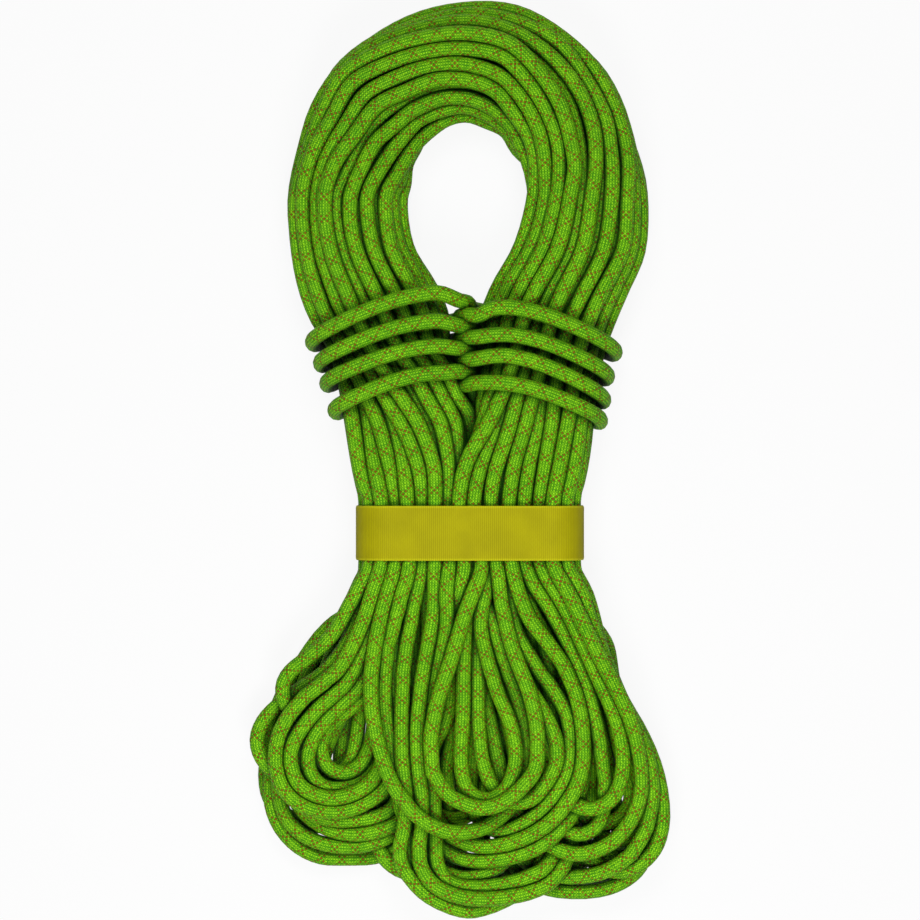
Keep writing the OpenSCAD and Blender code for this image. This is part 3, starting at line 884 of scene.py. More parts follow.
def settle(home, hold, rounds):
    """The line after so many rounds of pushing apart and drawing back."""
    home = waved(home, hold)
    shift = np.zeros_like(home)
    pull = np.column_stack([hold, hold, np.minimum(hold, PULL_UP_MOST) * PULL_UP_SHARE])
    pull[:END_POINTS] = END_PULL
    pull[-END_POINTS:] = END_PULL
    for step in range(rounds):
        points = home + shift
        if step % ROUNDS_A_SEARCH == 0:
            pairs = near_pairs(points)
        i, j = pairs[:, 0], pairs[:, 1]
        apart = points[j] - points[i]
        distance = np.sqrt(np.einsum("ij,ij->i", apart, apart)) + 1e-9
        push = np.clip(ROPE_D - distance, 0, None) / distance
        touching = push > 0
        i, j, push = i[touching], j[touching], (push[touching, None] * apart[touching]) * 0.5
        move = np.zeros_like(points)
        for k in range(3):
            move[:, k] = np.bincount(j, push[:, k], len(points)) - np.bincount(i, push[:, k], len(points))
        touches = np.bincount(i, minlength=len(points)) + np.bincount(j, minlength=len(points))
        move /= np.maximum(touches, 1)[:, None] ** CROWDING
        shift += move * PUSH_SHARE
        shift[:, 2] -= SINK
        average = (shift[:-2] + shift[2:]) / 2
        shift[1:-1] += SPREAD * (average - shift[1:-1])
        shift -= pull * shift
        points = home + shift
        points += straightened(points) * STRAIGHTEN_SHARE
        keep_in_band(points)
        points[:, 2] = np.maximum(points[:, 2], FLOOR_Z)
        shift = points - home
        if step % ROUNDS_A_REPORT == 0 or step == rounds - 1:
            depth = ROPE_D - distance[touching] if touching.any() else np.zeros(1)
            mean, most = round(float(depth.mean()), 3), round(float(np.quantile(depth, 0.95)), 2)
            print("settling", step, "pairs", len(pairs), "mean overlap", mean, "95%", most)
    return home + shift


rope = settle(rope, hold_xy, ROUNDS)
print("settled length", round(arc_lengths(rope)[-1] / 1000, 2), "m, highest", round(rope[:, 2].max(), 1))

# %% [markdown]
# ## Closing the last slits
#
# Here and there the settled strands leave a slit through which the ground would
# show. A real heap of rope has none, because loose strands fall into such places.
# So the low strand nearest to each slit is drawn a few millimetres over it, along
# a short stretch that fades out to both sides.

# %% Slits
# Each slit's place, the part of the way to go, and how many points to each side go.
SLITS = (
    (-108.6, -231.8, 0.6, 7),
    (-93.8, -244.4, 0.4, 6),
    (-94.2, -200.8, 0.4, 8),
    (-4.6, -173.9, 0.5, 12),
)
LOW_FIRST = 0.3


def eased_over(points, slits):
    """The low strand nearest to each slit, drawn a little over it."""
    points = points.copy()
    number = np.arange(len(points))
    for x, y, part, reach in slits:
        offset = np.array((x, y)) - points[:, :2]
        distance = np.hypot(offset[:, 0], offset[:, 1])
        nearest = np.argmin(distance + LOW_FIRST * points[:, 2])
        along = np.clip(1 - np.abs(number - nearest) / reach, 0, 1)
        weight = along**2 * (3 - 2 * along)
        points[:, :2] += weight[:, None] * offset[nearest] * part
    return points


rope = eased_over(rope, SLITS)
print("length", round(arc_lengths(rope)[-1] / 1000, 2), "m")

# %% [markdown]
# ## The rope as a tube
#
# A round rope is a circle carried along its route, and Geometry Nodes do exactly
# that. The circle is an arc of a full turn that isn't closed, so that the first
# and the last point of a ring lie on each other: the pattern can then run from 0
# to 1 round the rope with no jump. The two copies are merged afterwards. Rings are
# close together in the bends and further apart on straight runs. Twelve flat sides
# cut some of the circle away, so the ring is a little wider, with the same area.

# %% Rings along the route
RING_SIDES = 12
RING_RADIUS = ROPE_D / 2 * math.sqrt(math.tau / (RING_SIDES * math.sin(math.tau / RING_SIDES)))
RING_NEAR, RING_FAR = 4.2, 9.0
TURN_A_RING = 0.13
MOST_RINGS = 8200
FINE_MM = 1.0
SMOOTH_OVER = 7
LEAST_CURVE = 1e-4
WIDER = 1.05


def bend(points):
    """How sharply a line turns at each point, in radians a millimetre."""
    before, after = points[1:-1] - points[:-2], points[2:] - points[1:-1]
    lengths = np.linalg.norm(before, axis=1), np.linalg.norm(after, axis=1)
    cosine = np.einsum("ij,ij->i", before, after) / (lengths[0] * lengths[1])
    turn = np.arccos(np.clip(cosine, -1, 1)) / ((lengths[0] + lengths[1]) / 2)
    return np.concatenate([[turn[0]], turn, [turn[-1]]])


def ring_spacing(curvature, nearest):
    """Millimetres to the next ring: near in bends, far on straight runs."""
    return np.clip(TURN_A_RING / np.maximum(curvature, LEAST_CURVE), nearest, RING_FAR)


fine = spline_through(rope, FINE_MM)
curvature = np.convolve(bend(fine), np.ones(SMOOTH_OVER) / SMOOTH_OVER, "same")
nearest = RING_NEAR
spacing = ring_spacing(curvature, nearest)
while np.sum(1.0 / spacing) >= MOST_RINGS:
    nearest *= WIDER
    spacing = ring_spacing(curvature, nearest)
counted = np.concatenate([[0.0], np.cumsum((1 / spacing[1:] + 1 / spacing[:-1]) / 2)])
ring_count = int(counted[-1]) + 1
where = np.interp(np.linspace(0, counted[-1], ring_count), counted, np.arange(len(fine)))
rings = np.column_stack([np.interp(where, np.arange(len(fine)), fine[:, k]) for k in range(3)]) * MM
print("rings", ring_count, "triangles about", ring_count * RING_SIDES * 2)

# %% [markdown]
# ## A small kit for node trees
#
# The same few lines build every tree in this lesson, for shapes and for finishes.
# `Graph.add` makes a node from its type, its settings and the values or links of
# its sockets. `Value` wraps a socket so that sums can be written as sums: the
# operators add the Math nodes, also where the plain number comes first.


# %% Node kit
class Value:
    """An output socket with a number, which can be calculated with."""

    def __init__(self, graph, socket):
        self.graph, self.socket = graph, socket

    def math(self, operation, *others):
        given = {0: self, **{i + 1: o for i, o in enumerate(others)}}
        return self.graph.add("ShaderNodeMath", {"operation": operation}, given).value()

    def __add__(self, other):
        return self.math("ADD", other)

    def __radd__(self, other):
        return self.math("ADD", other)

    def __sub__(self, other):
        return self.math("SUBTRACT", other)

    def __rsub__(self, other):
        return self.math("MULTIPLY", -1.0).math("ADD", other)

    def __mul__(self, other):
        return self.math("MULTIPLY", other)

    def __rmul__(self, other):
        return self.math("MULTIPLY", other)

    def __truediv__(self, other):
        return self.math("DIVIDE", other)

    def __mod__(self, other):
        return self.math("FLOORED_MODULO", other)

    def floor(self):
        return self.math("FLOOR")

    def fract(self):
        return self.math("FRACT")

    def abs(self):
        return self.math("ABSOLUTE")

    def sin(self):
        return self.math("SINE")

    def power(self, exponent):
        return self.math("POWER", exponent)

    def least(self, other):
        return self.math("MINIMUM", other)

    def most(self, other):
        return self.math("MAXIMUM", other)

    def below(self, other):
        return self.math("LESS_THAN", other)

    def ramp(self, low, high):
        """0 below low, 1 above high and smooth between."""
        node = self.graph.add(
            "ShaderNodeMapRange",
            {"interpolation_type": "SMOOTHSTEP", "clamp": True},
            {"Value": self, "From Min": low, "From Max": high},
        )
        return node.value("Result")


class Node:
    """A node with handy access to its sockets."""

    def __init__(self, graph, node):
        self.graph, self.node = graph, node

    def out(self, name=0):
        return self.node.outputs[name]

    def value(self, name=0):
        return Value(self.graph, self.node.outputs[name])


class Graph:
    """Builds one node tree."""

    def __init__(self, tree):
        self.tree = tree
        self.tree.nodes.clear()

    def add(self, kind, settings=None, sockets=None):
        node = self.tree.nodes.new(kind)
        for name, setting in (settings or {}).items():
            setattr(node, name, setting)
        for name, given in (sockets or {}).items():
            self.feed(node.inputs[name], given)
        return Node(self, node)

    def feed(self, socket, given):
        if isinstance(given, Value):
            given = given.socket
        if isinstance(given, Node):
            given = given.out()
        if isinstance(given, bpy.types.NodeSocket):
            self.tree.links.new(given, socket)
        else:
            socket.default_value = given


# %% [markdown]
# ## The tree that makes the tube
#
# `Capture Attribute` remembers how far along the route and how far round the
# circle each point is, before `Curve to Mesh` joins the two. The pair is stored on
# the corners of the faces as a UV map, which a braid can follow.

# %% Tube tree
UV_NAME = "lay"
MERGE_M = 1e-7


def shape_tree(name, inputs):
    """An empty geometry tree with named inputs, each (name, socket type, value)."""
    tree = bpy.data.node_groups.new(name, "GeometryNodeTree")
    tree.interface.new_socket("Geometry", in_out="INPUT", socket_type="NodeSocketGeometry")
    tree.interface.new_socket("Geometry", in_out="OUTPUT", socket_type="NodeSocketGeometry")
    for socket_name, kind, value in inputs:
        item = tree.interface.new_socket(socket_name, in_out="INPUT", socket_type=kind)
        if value is not None:
            item.default_value = value
    graph = Graph(tree)
    group_in = graph.add("NodeGroupInput")
    group_out = graph.add("NodeGroupOutput")
    return tree, graph, group_in, group_out


def finished(graph, group_in, group_out, shape):
    """The end of a shape tree: smooth, real geometry with its material."""
    smooth = graph.add("GeometryNodeSetShadeSmooth", {}, {"Geometry": shape.out()})
    real = graph.add("GeometryNodeRealizeInstances", {}, {"Geometry": smooth.out()})
    sockets = {"Geometry": real.out(), "Material": group_in.out("Finish")}
    finish = graph.add("GeometryNodeSetMaterial", {}, sockets)
    graph.feed(group_out.node.inputs[0], finish.out())


def tube_tree():
    """A tube along a curve, with the pattern's map on its faces."""
    tree, graph, group_in, group_out = shape_tree(
        "rope_tube",
        [
            ("Radius", "NodeSocketFloat", RING_RADIUS * MM),
            ("Sides", "NodeSocketInt", RING_SIDES),
            ("Finish", "NodeSocketMaterial", None),
        ],
    )
    along = graph.add("GeometryNodeSplineParameter")
    remember_along = graph.add("GeometryNodeCaptureAttribute", {"domain": "POINT"})
    remember_along.node.capture_items.new("FLOAT", "Along")
    graph.feed(remember_along.node.inputs[0], group_in.out("Geometry"))
    graph.feed(remember_along.node.inputs[1], along.out("Length"))
    corners = graph.add("FunctionNodeIntegerMath", {"operation": "ADD"}, {0: group_in.out("Sides"), 1: 1})
    circle = graph.add(
        "GeometryNodeCurveArc",
        {"mode": "RADIUS"},
        {"Resolution": corners.out(), "Radius": group_in.out("Radius"), "Sweep Angle": math.tau},
    )
    around = graph.add("GeometryNodeSplineParameter")
    remember_around = graph.add("GeometryNodeCaptureAttribute", {"domain": "POINT"})
    remember_around.node.capture_items.new("FLOAT", "Around")
    graph.feed(remember_around.node.inputs[0], circle.out("Curve"))
    graph.feed(remember_around.node.inputs[1], around.out("Factor"))
    tube = graph.add(
        "GeometryNodeCurveToMesh",
        {},
        {
            "Curve": remember_along.out("Geometry"),
            "Profile Curve": remember_around.out("Geometry"),
            "Fill Caps": False,
        },
    )
    pair = graph.add("ShaderNodeCombineXYZ", {}, {"X": remember_around.out(1), "Y": remember_along.out(1)})
    store = graph.add(
        "GeometryNodeStoreNamedAttribute",
        {"data_type": "FLOAT2", "domain": "CORNER"},
        {"Geometry": tube.out(), "Name": UV_NAME, "Value": pair.out()},
    )
    merged = graph.add("GeometryNodeMergeByDistance", {}, {"Geometry": store.out(), "Distance": MERGE_M})
    finished(graph, group_in, group_out, merged)
    return tree


def baked(source, tree, inputs, name):
    """The plain mesh object that a geometry tree makes from a source object."""
    modifier = source.modifiers.new("shape", "NODES")
    modifier.node_group = tree
    for item in tree.interface.items_tree:
        if item.item_type == "SOCKET" and item.in_out == "INPUT" and item.name in inputs:
            modifier[item.identifier] = inputs[item.name]
    bpy.context.view_layer.update()
    evaluated = source.evaluated_get(bpy.context.evaluated_depsgraph_get())
    mesh = bpy.data.meshes.new_from_object(evaluated)
    mesh.name = name
    made = bpy.data.objects.new(name, mesh)
    bpy.context.scene.collection.objects.link(made)
    source.modifiers.remove(modifier)
    bpy.data.objects.remove(source)
    return made


def route_object(name, points):
    """A line of straight runs through points, as a curve object."""
    data = bpy.data.curves.new(name, "CURVE")
    data.dimensions = "3D"
    spline = data.splines.new("POLY")
    spline.points.add(len(points) - 1)
    spline.points.foreach_set("co", np.column_stack([points, np.ones(len(points))]).ravel())
    obj = bpy.data.objects.new(name, data)
    bpy.context.scene.collection.objects.link(obj)
    return obj


# %% [markdown]
# ## What the finishes share
#
# Every finish is one shader, with a pattern that sets its colour, its roughness
# and a small bump. Shade is painted into the colour of narrow places: the Ambient
# Occlusion node knows how narrow a place is, and darkens the colour there, in the
# creases between strands and on the strands that lie low in the heap.

# %% Helpers for every finish
WHITE = (1.0, 1.0, 1.0, 1.0)
# Painted shade: how far the Ambient Occlusion node looks, the range over which it darkens, and its
# samples.
PAINTED_SHADE_M = 0.018
PAINTED_SHADE_RAMP = (0.12, 0.72)
PAINTED_SHADE_SAMPLES = 4


def new_material(name):
    """A material with one shader, and the graph that builds it."""
    material = bpy.data.materials.new(name)
    material.use_nodes = True
    graph = Graph(material.node_tree)
    output = graph.add("ShaderNodeOutputMaterial")
    shader = graph.add("ShaderNodeBsdfPrincipled")
    graph.feed(output.node.inputs["Surface"], shader.out())
    return material, graph, shader


def mixed(graph, factor, low, high, blend="MIX"):
    """Two colours mixed by a factor from 0 to 1."""
    node = graph.add("ShaderNodeMix", {"data_type": "RGBA", "blend_type": blend})
    graph.feed(node.node.inputs[0], factor)
    graph.feed(node.node.inputs[6], low)
    graph.feed(node.node.inputs[7], high)
    return node.out(2)


def object_place(graph):
    """The place in the object itself, in metres."""
    return graph.add("ShaderNodeTexCoord").out("Object")


def grain(graph, scale, detail):
    """A soft noise all through the object, from 0 to 1."""
    sockets = {"Vector": object_place(graph), "Scale": scale, "Detail": detail}
    return graph.add("ShaderNodeTexNoise", {}, sockets).value("Fac")


def with_painted_shade(graph, color, shade_tint):
    """A colour with painted shade: it goes over to its shade-tinted self in narrow places."""
    settings, sockets = {"samples": PAINTED_SHADE_SAMPLES}, {"Distance": PAINTED_SHADE_M}
    open_to_air = graph.add("ShaderNodeAmbientOcclusion", settings, sockets).value("AO")
    shade = mixed(graph, open_to_air.ramp(*PAINTED_SHADE_RAMP), shade_tint, WHITE)
    return mixed(graph, 1.0, color, shade, "MULTIPLY")


def add_bump(graph, shader, height, strength, distance):
    """Lets a height tilt the surface that the shader sees."""
    bump = graph.add("ShaderNodeBump", {}, {"Strength": strength, "Distance": distance, "Height": height})
    graph.feed(shader.node.inputs["Normal"], bump.out("Normal"))


# %% [markdown]
# ## Which way the braid runs
#
# A braid follows its rope, so it needs to know how far round and how far along
# each place is. The tube brings that pair along as its map. The two straight ends
# have no map, so there the pair is worked out from the place and the end's axis.

# %% Which way the braid runs
def tube_lay(graph):
    """Round and along the tube, from its own map."""
    lay = graph.add("ShaderNodeUVMap", {"uv_map": UV_NAME})
    parts = graph.add("ShaderNodeSeparateXYZ", {}, {0: lay.out()})
    return parts.value("X"), parts.value("Y")


def end_lay(direction, centre_mm):
    """Round and along a straight end of the rope, which has no map of its own."""

    def lay(graph):
        parts = graph.add("ShaderNodeSeparateXYZ", {}, {0: object_place(graph)})
        across = "X" if direction == "Y" else "Y"
        sideways = parts.value(across) - centre_mm[0] * MM
        upwards = parts.value("Z") - centre_mm[1] * MM
        return sideways.math("ARCTAN2", upwards) / math.tau + 0.5, parts.value(direction)

    return lay


# %% [markdown]
# ## The braided sheath's finish
#
# The cover of the rope is braided from yarns that go round it both ways, over and
# under each other. In the flat pattern of the tube both families are straight
# lines: one rises to the right, the other to the left. Where the sum of the two
# yarn numbers is even, one family lies on top, and elsewhere the other. Two yarns
# of each family are dyed rust, and where they meet they make a small cross. Light
# is painted into the green: the yarns on top, their middles and the ribs along
# the rope are lighter, and painted shade darkens the gaps between yarns and the
# creases between strands. Random patches and each yarn's own tone vary it too.

# %% Sheath finish
YARNS_ROUND = 16.0
YARN_MM = 1.7
TRACER_EVERY = 8.0
# Whole turns added to both families' yarn numbers, so that none is below 0.
TURNS_RISING, TURNS_FALLING = 400.0, 4000.0
# The green's two ends: a paler tone that also stands for painted light, and a deeper one for painted
# shade.
YARN_PALE_AND_LIT = (0.275, 0.63, 0.008, 1.0)
YARN_DEEP_AND_SHADED = (0.042, 0.235, 0.002, 1.0)
YARN_TRACER = (0.212, 0.052, 0.004, 1.0)
# Painted shade between the yarns: the tint of low places, and the heights it fades over.
PAINTED_GROOVE = (0.10, 0.24, 0.06, 1.0)
PAINTED_GROOVE_RAMP = (0.05, 0.55)
# Painted shade: the tint that creases and low-lying strands take on.
SHEATH_SHADE_TINT = (0.02, 0.11, 0.01, 1.0)
# How much a yarn's height falls to its sides and to its ends.
SIDE_FALL, END_FALL = 0.9, 0.6
# How much tracers fade away from where they cross, and over which distance in yarns.
CROSS_FADE, CROSS_RAMP = 0.3, (1.5, 3.5)
# What lightens a yarn: painted light from its family on top, from the ribs along
# the rope and from its height, and real tone from patches and its own shade.
ON_TOP_LIGHT_SHARE, RIB_LIGHT_SHARE, HEIGHT_LIGHT_SHARE, PATCH_SHARE, OWN_SHARE = 0.2, 0.45, 0.25, 0.4, 0.45
DARKER = 0.5
PATCH_SCALE, PATCH_DETAIL = 45.0, 3.0
SHEATH_ROUGHNESS, SHEATH_SMOOTHER = 0.72, 0.14
SHEATH_SPECULAR = 0.11
SHEATH_BUMP, SHEATH_BUMP_M = 0.8, 0.0005


def from_tracer(index):
    """How many yarns away the nearest tracer is."""
    return ((index.floor() + TRACER_EVERY / 2) % TRACER_EVERY - TRACER_EVERY / 2).abs()


def braid_finish(name, lay=tube_lay):
    """The braided cover: two families of yarns over and under, some of them dyed."""
    material, graph, shader = new_material(name)
    around, along = lay(graph)
    a = around * YARNS_ROUND
    b = along * (1000.0 / YARN_MM)
    rising, falling = a + b + TURNS_RISING * YARNS_ROUND, a - b + TURNS_FALLING * YARNS_ROUND
    on_top = ((rising.floor() + falling.floor()) % 2.0).below(0.5)
    across_rising = (rising.fract() - 0.5).abs() * 2.0
    across_falling = (falling.fract() - 0.5).abs() * 2.0
    side_on = across_rising * on_top + across_falling * (1.0 - on_top)
    end_on = across_falling * on_top + across_rising * (1.0 - on_top)
    height = (1.0 - side_on * side_on * SIDE_FALL) * (1.0 - end_on * end_on * END_FALL)
    off_rising, off_falling = from_tracer(rising), from_tracer(falling)
    tracer = off_rising.least(off_falling).below(0.5) * on_top
    at_cross = 1.0 - off_rising.most(off_falling).ramp(*CROSS_RAMP) * CROSS_FADE
    patches = grain(graph, PATCH_SCALE, PATCH_DETAIL)
    # Painted light and shade across the rope, in lengthwise ribs.
    rib_light = 0.5 - (a * math.tau + math.pi / 2).sin() * 0.5
    cell = graph.add("ShaderNodeCombineXYZ", {}, {"X": rising.floor(), "Y": falling.floor()})
    settings, sockets = {"noise_dimensions": "2D"}, {"Vector": cell.out()}
    own_shade = graph.add("ShaderNodeTexWhiteNoise", settings, sockets).value()
    # Painted light on yarns on top, on their middles and along the ribs; patches and own shade are real
    # tone.
    light_and_tone = on_top * ON_TOP_LIGHT_SHARE + rib_light * RIB_LIGHT_SHARE + height * HEIGHT_LIGHT_SHARE
    light_and_tone = light_and_tone + patches * PATCH_SHARE + own_shade * OWN_SHARE - DARKER
    green = mixed(graph, light_and_tone, YARN_DEEP_AND_SHADED, YARN_PALE_AND_LIT)
    dyed = mixed(graph, tracer * at_cross, green, YARN_TRACER)
    # Painted shade in the gaps between yarns.
    shaded = mixed(graph, height.ramp(*PAINTED_GROOVE_RAMP), PAINTED_GROOVE, WHITE)
    braided = mixed(graph, 1.0, dyed, shaded, "MULTIPLY")
    # Painted shade in the creases between strands and on strands low in the heap.
    graph.feed(shader.node.inputs["Base Color"], with_painted_shade(graph, braided, SHEATH_SHADE_TINT))
    graph.feed(shader.node.inputs["Roughness"], SHEATH_ROUGHNESS - height * SHEATH_SMOOTHER)
    shader.node.inputs["Specular IOR Level"].default_value = SHEATH_SPECULAR
    add_bump(graph, shader, height, SHEATH_BUMP, SHEATH_BUMP_M)
    return material


# %% [markdown]
# ## The rope in its place
#
# One tube along the whole route stands for all five nodes of turns.

# %% The rope
sheath_finish = braid_finish("sheath_braid")
rope_tree = tube_tree()
rope_piece = baked(
    route_object("rope_route", rings),
    rope_tree,
    {"Radius": RING_RADIUS * MM, "Sides": RING_SIDES, "Finish": sheath_finish},
    "climbing_rope",
)
print("rope mesh", len(rope_piece.data.vertices), "points", len(rope_piece.data.polygons), "faces")
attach(rope_piece, "root")
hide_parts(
    "hank_turns",
    "lashing_turns",
    "inner_turns_arch",
    "inner_turns_left_leg",
    "inner_turns_right_leg",
)

# %% [markdown]
# ## The band
#
# A woven band holds the waist. It is a closed strip that follows the rounded
# section of both legs, so it is lofted from that outline: each step round is a
# short column of faces from the lower to the upper edge, with a rolled edge at
# both sides. Its map is in millimetres, round the hank and up.

# %% Band
BAND_OUT_X = 73.6
BAND_OUT_Z = 31.2
BAND_RADIUS = 21.5
BAND_CORNER_STEPS = 10
BAND_STEP = 1.6
BAND_T = 2.0
BAND_EDGE = ((0.0, -0.4), (0.03, 0.0), (0.06, 0.05))
BAND_FLAT = (0.12, 0.25, 0.4, 0.5, 0.6, 0.75, 0.88)


def rounded_outline(half_x, half_z, radius, steps):
    """Points round a rectangle with round corners, and their outward directions."""
    points, normals = [], []
    for n, (sx, sz) in enumerate(((1, 1), (-1, 1), (-1, -1), (1, -1))):
        for k in range(steps + 1):
            angle = math.radians(90 * (n + k / steps))
            normal = (math.cos(angle), math.sin(angle))
            x = sx * (half_x - radius) + radius * normal[0]
            points.append((x, sz * (half_z - radius) + radius * normal[1]))
            normals.append(normal)
    return np.array(points), np.array(normals)


def even_ring(points, normals, step):
    """The same outline in even steps: places, directions, and how far round they are."""
    closed = np.vstack([points, points[:1]])
    directions = np.vstack([normals, normals[:1]])
    along = arc_lengths(closed)
    count = int(along[-1] / step)
    at = np.linspace(0, along[-1], count, endpoint=False)
    ring = np.column_stack([np.interp(at, along, closed[:, k]) for k in range(2)])
    facing = np.column_stack([np.interp(at, along, directions[:, k]) for k in range(2)])
    return ring, facing / np.linalg.norm(facing, axis=1, keepdims=True), at, along[-1]


def band_profile():
    """From the band's lower edge to its upper one: share of its width, and how far out."""
    lower = [(0.0, -BAND_T), *BAND_EDGE]
    upper = [(1.0 - share, out) for share, out in reversed(lower)]
    return lower + [(share, 0.0) for share in BAND_FLAT] + upper


def band_mesh(name):
    """The whole band as one closed strip."""
    outline, normals = rounded_outline(BAND_OUT_X, BAND_OUT_Z, BAND_RADIUS, BAND_CORNER_STEPS)
    ring, facing, at, total = even_ring(outline, normals, BAND_STEP)
    height = BAND_HIGH - BAND_LOW
    profile = band_profile()
    rows, columns = len(profile), len(ring)
    verts, uvs = [], []
    for c in range(columns):
        for share, out in profile:
            x, z = ring[c] + facing[c] * out
            verts.append((BAND_MIDDLE_X + x, BAND_LOW + share * height, LEG_MID_Z + z))
    faces = []
    for c in range(columns):
        d = (c + 1) % columns
        for r in range(rows):
            q = (r + 1) % rows
            faces.append((c * rows + r, c * rows + q, d * rows + q, d * rows + r))
            u = (at[c], at[c] + total / columns)
            v = (profile[r][0] * height, profile[q][0] * height)
            uvs += [(u[0], v[0]), (u[0], v[1]), (u[1], v[1]), (u[1], v[0])]
    mesh = bpy.data.meshes.new(name)
    mesh.from_pydata([tuple(c * MM for c in p) for p in verts], [], faces)
    layer = mesh.uv_layers.new(name=UV_NAME)
    layer.data.foreach_set("uv", np.array(uvs, np.float32).ravel())
    mesh.validate()
    made = bpy.data.objects.new(name, mesh)
    bpy.context.scene.collection.objects.link(made)
    return made


# %% [markdown]
# ## The webbing's finish
#
# Webbing has ribs across it, made by the weft, and fine threads that lie half a
# thread higher in every other rib. Both are sines of the band's own map, and the
# higher threads are painted lighter, as light falls on the relief; a wear noise
# adds real tone. A paler selvedge runs along each edge, and painted shade darkens
# the band where it meets the rope. The flat overlap has no map, so its finish
# reads the place in the object.

# %% Webbing finish
WEB_DARK = (0.155, 0.137, 0.0, 1.0)
WEB_LIGHT = (0.375, 0.345, 0.0, 1.0)
SELVEDGE = (0.44, 0.43, 0.004, 1.0)
SELVEDGE_FROM, SELVEDGE_TO = 0.96, 1.6
RIB_MM, THREAD_MM = 1.3, 0.8
RIB_HEIGHT, THREAD_HEIGHT = 0.55, 0.45
# Shares of the webbing's colour: painted light on the raised threads, real wear, and an offset.
WEB_RELIEF_LIGHT_SHARE, WEAR_SHARE, WEB_DARKER = 0.7, 0.5, 0.05
WEAR_SCALE, WEAR_DETAIL = 60.0, 4.0
# Painted shade where the band meets the rope: the tint it is multiplied with.
WEB_SHADE_TINT = (0.3, 0.3, 0.2, 1.0)
WEB_ROUGHNESS, WEB_SMOOTHER = 0.75, 0.1
WEB_SPECULAR = 0.1
WEB_BUMP, WEB_BUMP_M = 0.5, 0.0004
# Added to x, so that no place on the flat overlap lies below 0.
FLAT_SHIFT = 100.0


def flat_lay(graph):
    """Along and up the flat overlap, in millimetres from its lower edge."""
    parts = graph.add("ShaderNodeSeparateXYZ", {}, {0: object_place(graph)})
    return parts.value("X") * 1000.0 + FLAT_SHIFT, parts.value("Y") * 1000.0 - BAND_LOW


def webbing_finish(name, lay=tube_lay):
    """Ribbed webbing with a selvedge at both edges."""
    material, graph, shader = new_material(name)
    u, v = lay(graph)
    ribs = (u * (math.pi / RIB_MM)).sin().abs()
    threads = ((v + (u / RIB_MM).floor() * THREAD_MM * 0.5) * (math.pi / THREAD_MM)).sin().abs()
    height = ribs * RIB_HEIGHT + threads * THREAD_HEIGHT
    wear = grain(graph, WEAR_SCALE, WEAR_DETAIL)
    # Raised threads are painted lighter, as light on the relief; the wear is real tone.
    color = mixed(graph, height * WEB_RELIEF_LIGHT_SHARE + wear * WEAR_SHARE - WEB_DARKER, WEB_DARK, WEB_LIGHT)
    from_edge = v.least((BAND_HIGH - BAND_LOW) - v)
    at_edge = 1.0 - from_edge.ramp(SELVEDGE_FROM, SELVEDGE_TO)
    color = mixed(graph, at_edge * height, color, SELVEDGE)
    # Painted shade where the band meets the rope.
    graph.feed(shader.node.inputs["Base Color"], with_painted_shade(graph, color, WEB_SHADE_TINT))
    graph.feed(shader.node.inputs["Roughness"], WEB_ROUGHNESS - height * WEB_SMOOTHER)
    shader.node.inputs["Specular IOR Level"].default_value = WEB_SPECULAR
    add_bump(graph, shader, height, WEB_BUMP, WEB_BUMP_M)
    return material


# %% The band
webbing = webbing_finish("band_webbing")
band_piece = band_mesh("waist_band")
band_piece.data.materials.append(webbing)
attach(band_piece, "root")
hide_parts("band")

# %% [markdown]
# ## The rope's ends, the overlap and the thread
#
# These solids have the right shape already, so most of them stay and only get a
# finish. They have no map, so the braid of the sheath and the weave of the overlap
# are laid out from the place in the object itself. The core strands are twisted
# bundles of fine white yarn, the tape carries a fine weave, and the sleeves are
# smooth shrunk tube with a few scuffs.

# %% Finishes of the kept solids
START_AXIS = (-22.1, 14.5)
FINISH_AXIS = (30.6, 5.35)
SLEEVE_DARK, SLEEVE_LIGHT = (0.012, 0.012, 0.014, 1.0), (0.03, 0.03, 0.033, 1.0)
CORE_DARK, CORE_LIGHT = (0.46, 0.46, 0.43, 1.0), (0.82, 0.82, 0.78, 1.0)
TAPE_DARK, TAPE_LIGHT = (0.30, 0.012, 0.01, 1.0), (0.52, 0.035, 0.025, 1.0)
SCUFF_SCALE, SCUFF_DETAIL = 400.0, 4.0
SLEEVE_ROUGHNESS, SCUFF_ROUGHER = 0.45, 0.15
SLEEVE_BUMP, SLEEVE_BUMP_M = 0.4, 0.0002
FUZZ_SCALE, FUZZ_DETAIL = 1400.0, 3.0
SLANT_HEIGHT, FUZZ_HEIGHT, STRAND_HEIGHT = 0.35, 0.5, 0.25
STRAND_SMOOTHER = 0.1
STRAND_BUMP, STRAND_BUMP_M = 0.6, 0.0002


def sleeve_finish(name):
    """Smooth shrunk tube with a few scuffs."""
    material, graph, shader = new_material(name)
    scuffs = grain(graph, SCUFF_SCALE, SCUFF_DETAIL)
    graph.feed(shader.node.inputs["Base Color"], mixed(graph, scuffs, SLEEVE_DARK, SLEEVE_LIGHT))
    graph.feed(shader.node.inputs["Roughness"], SLEEVE_ROUGHNESS + (scuffs - 0.5) * SCUFF_ROUGHER)
    add_bump(graph, shader, scuffs, SLEEVE_BUMP, SLEEVE_BUMP_M)
    return material


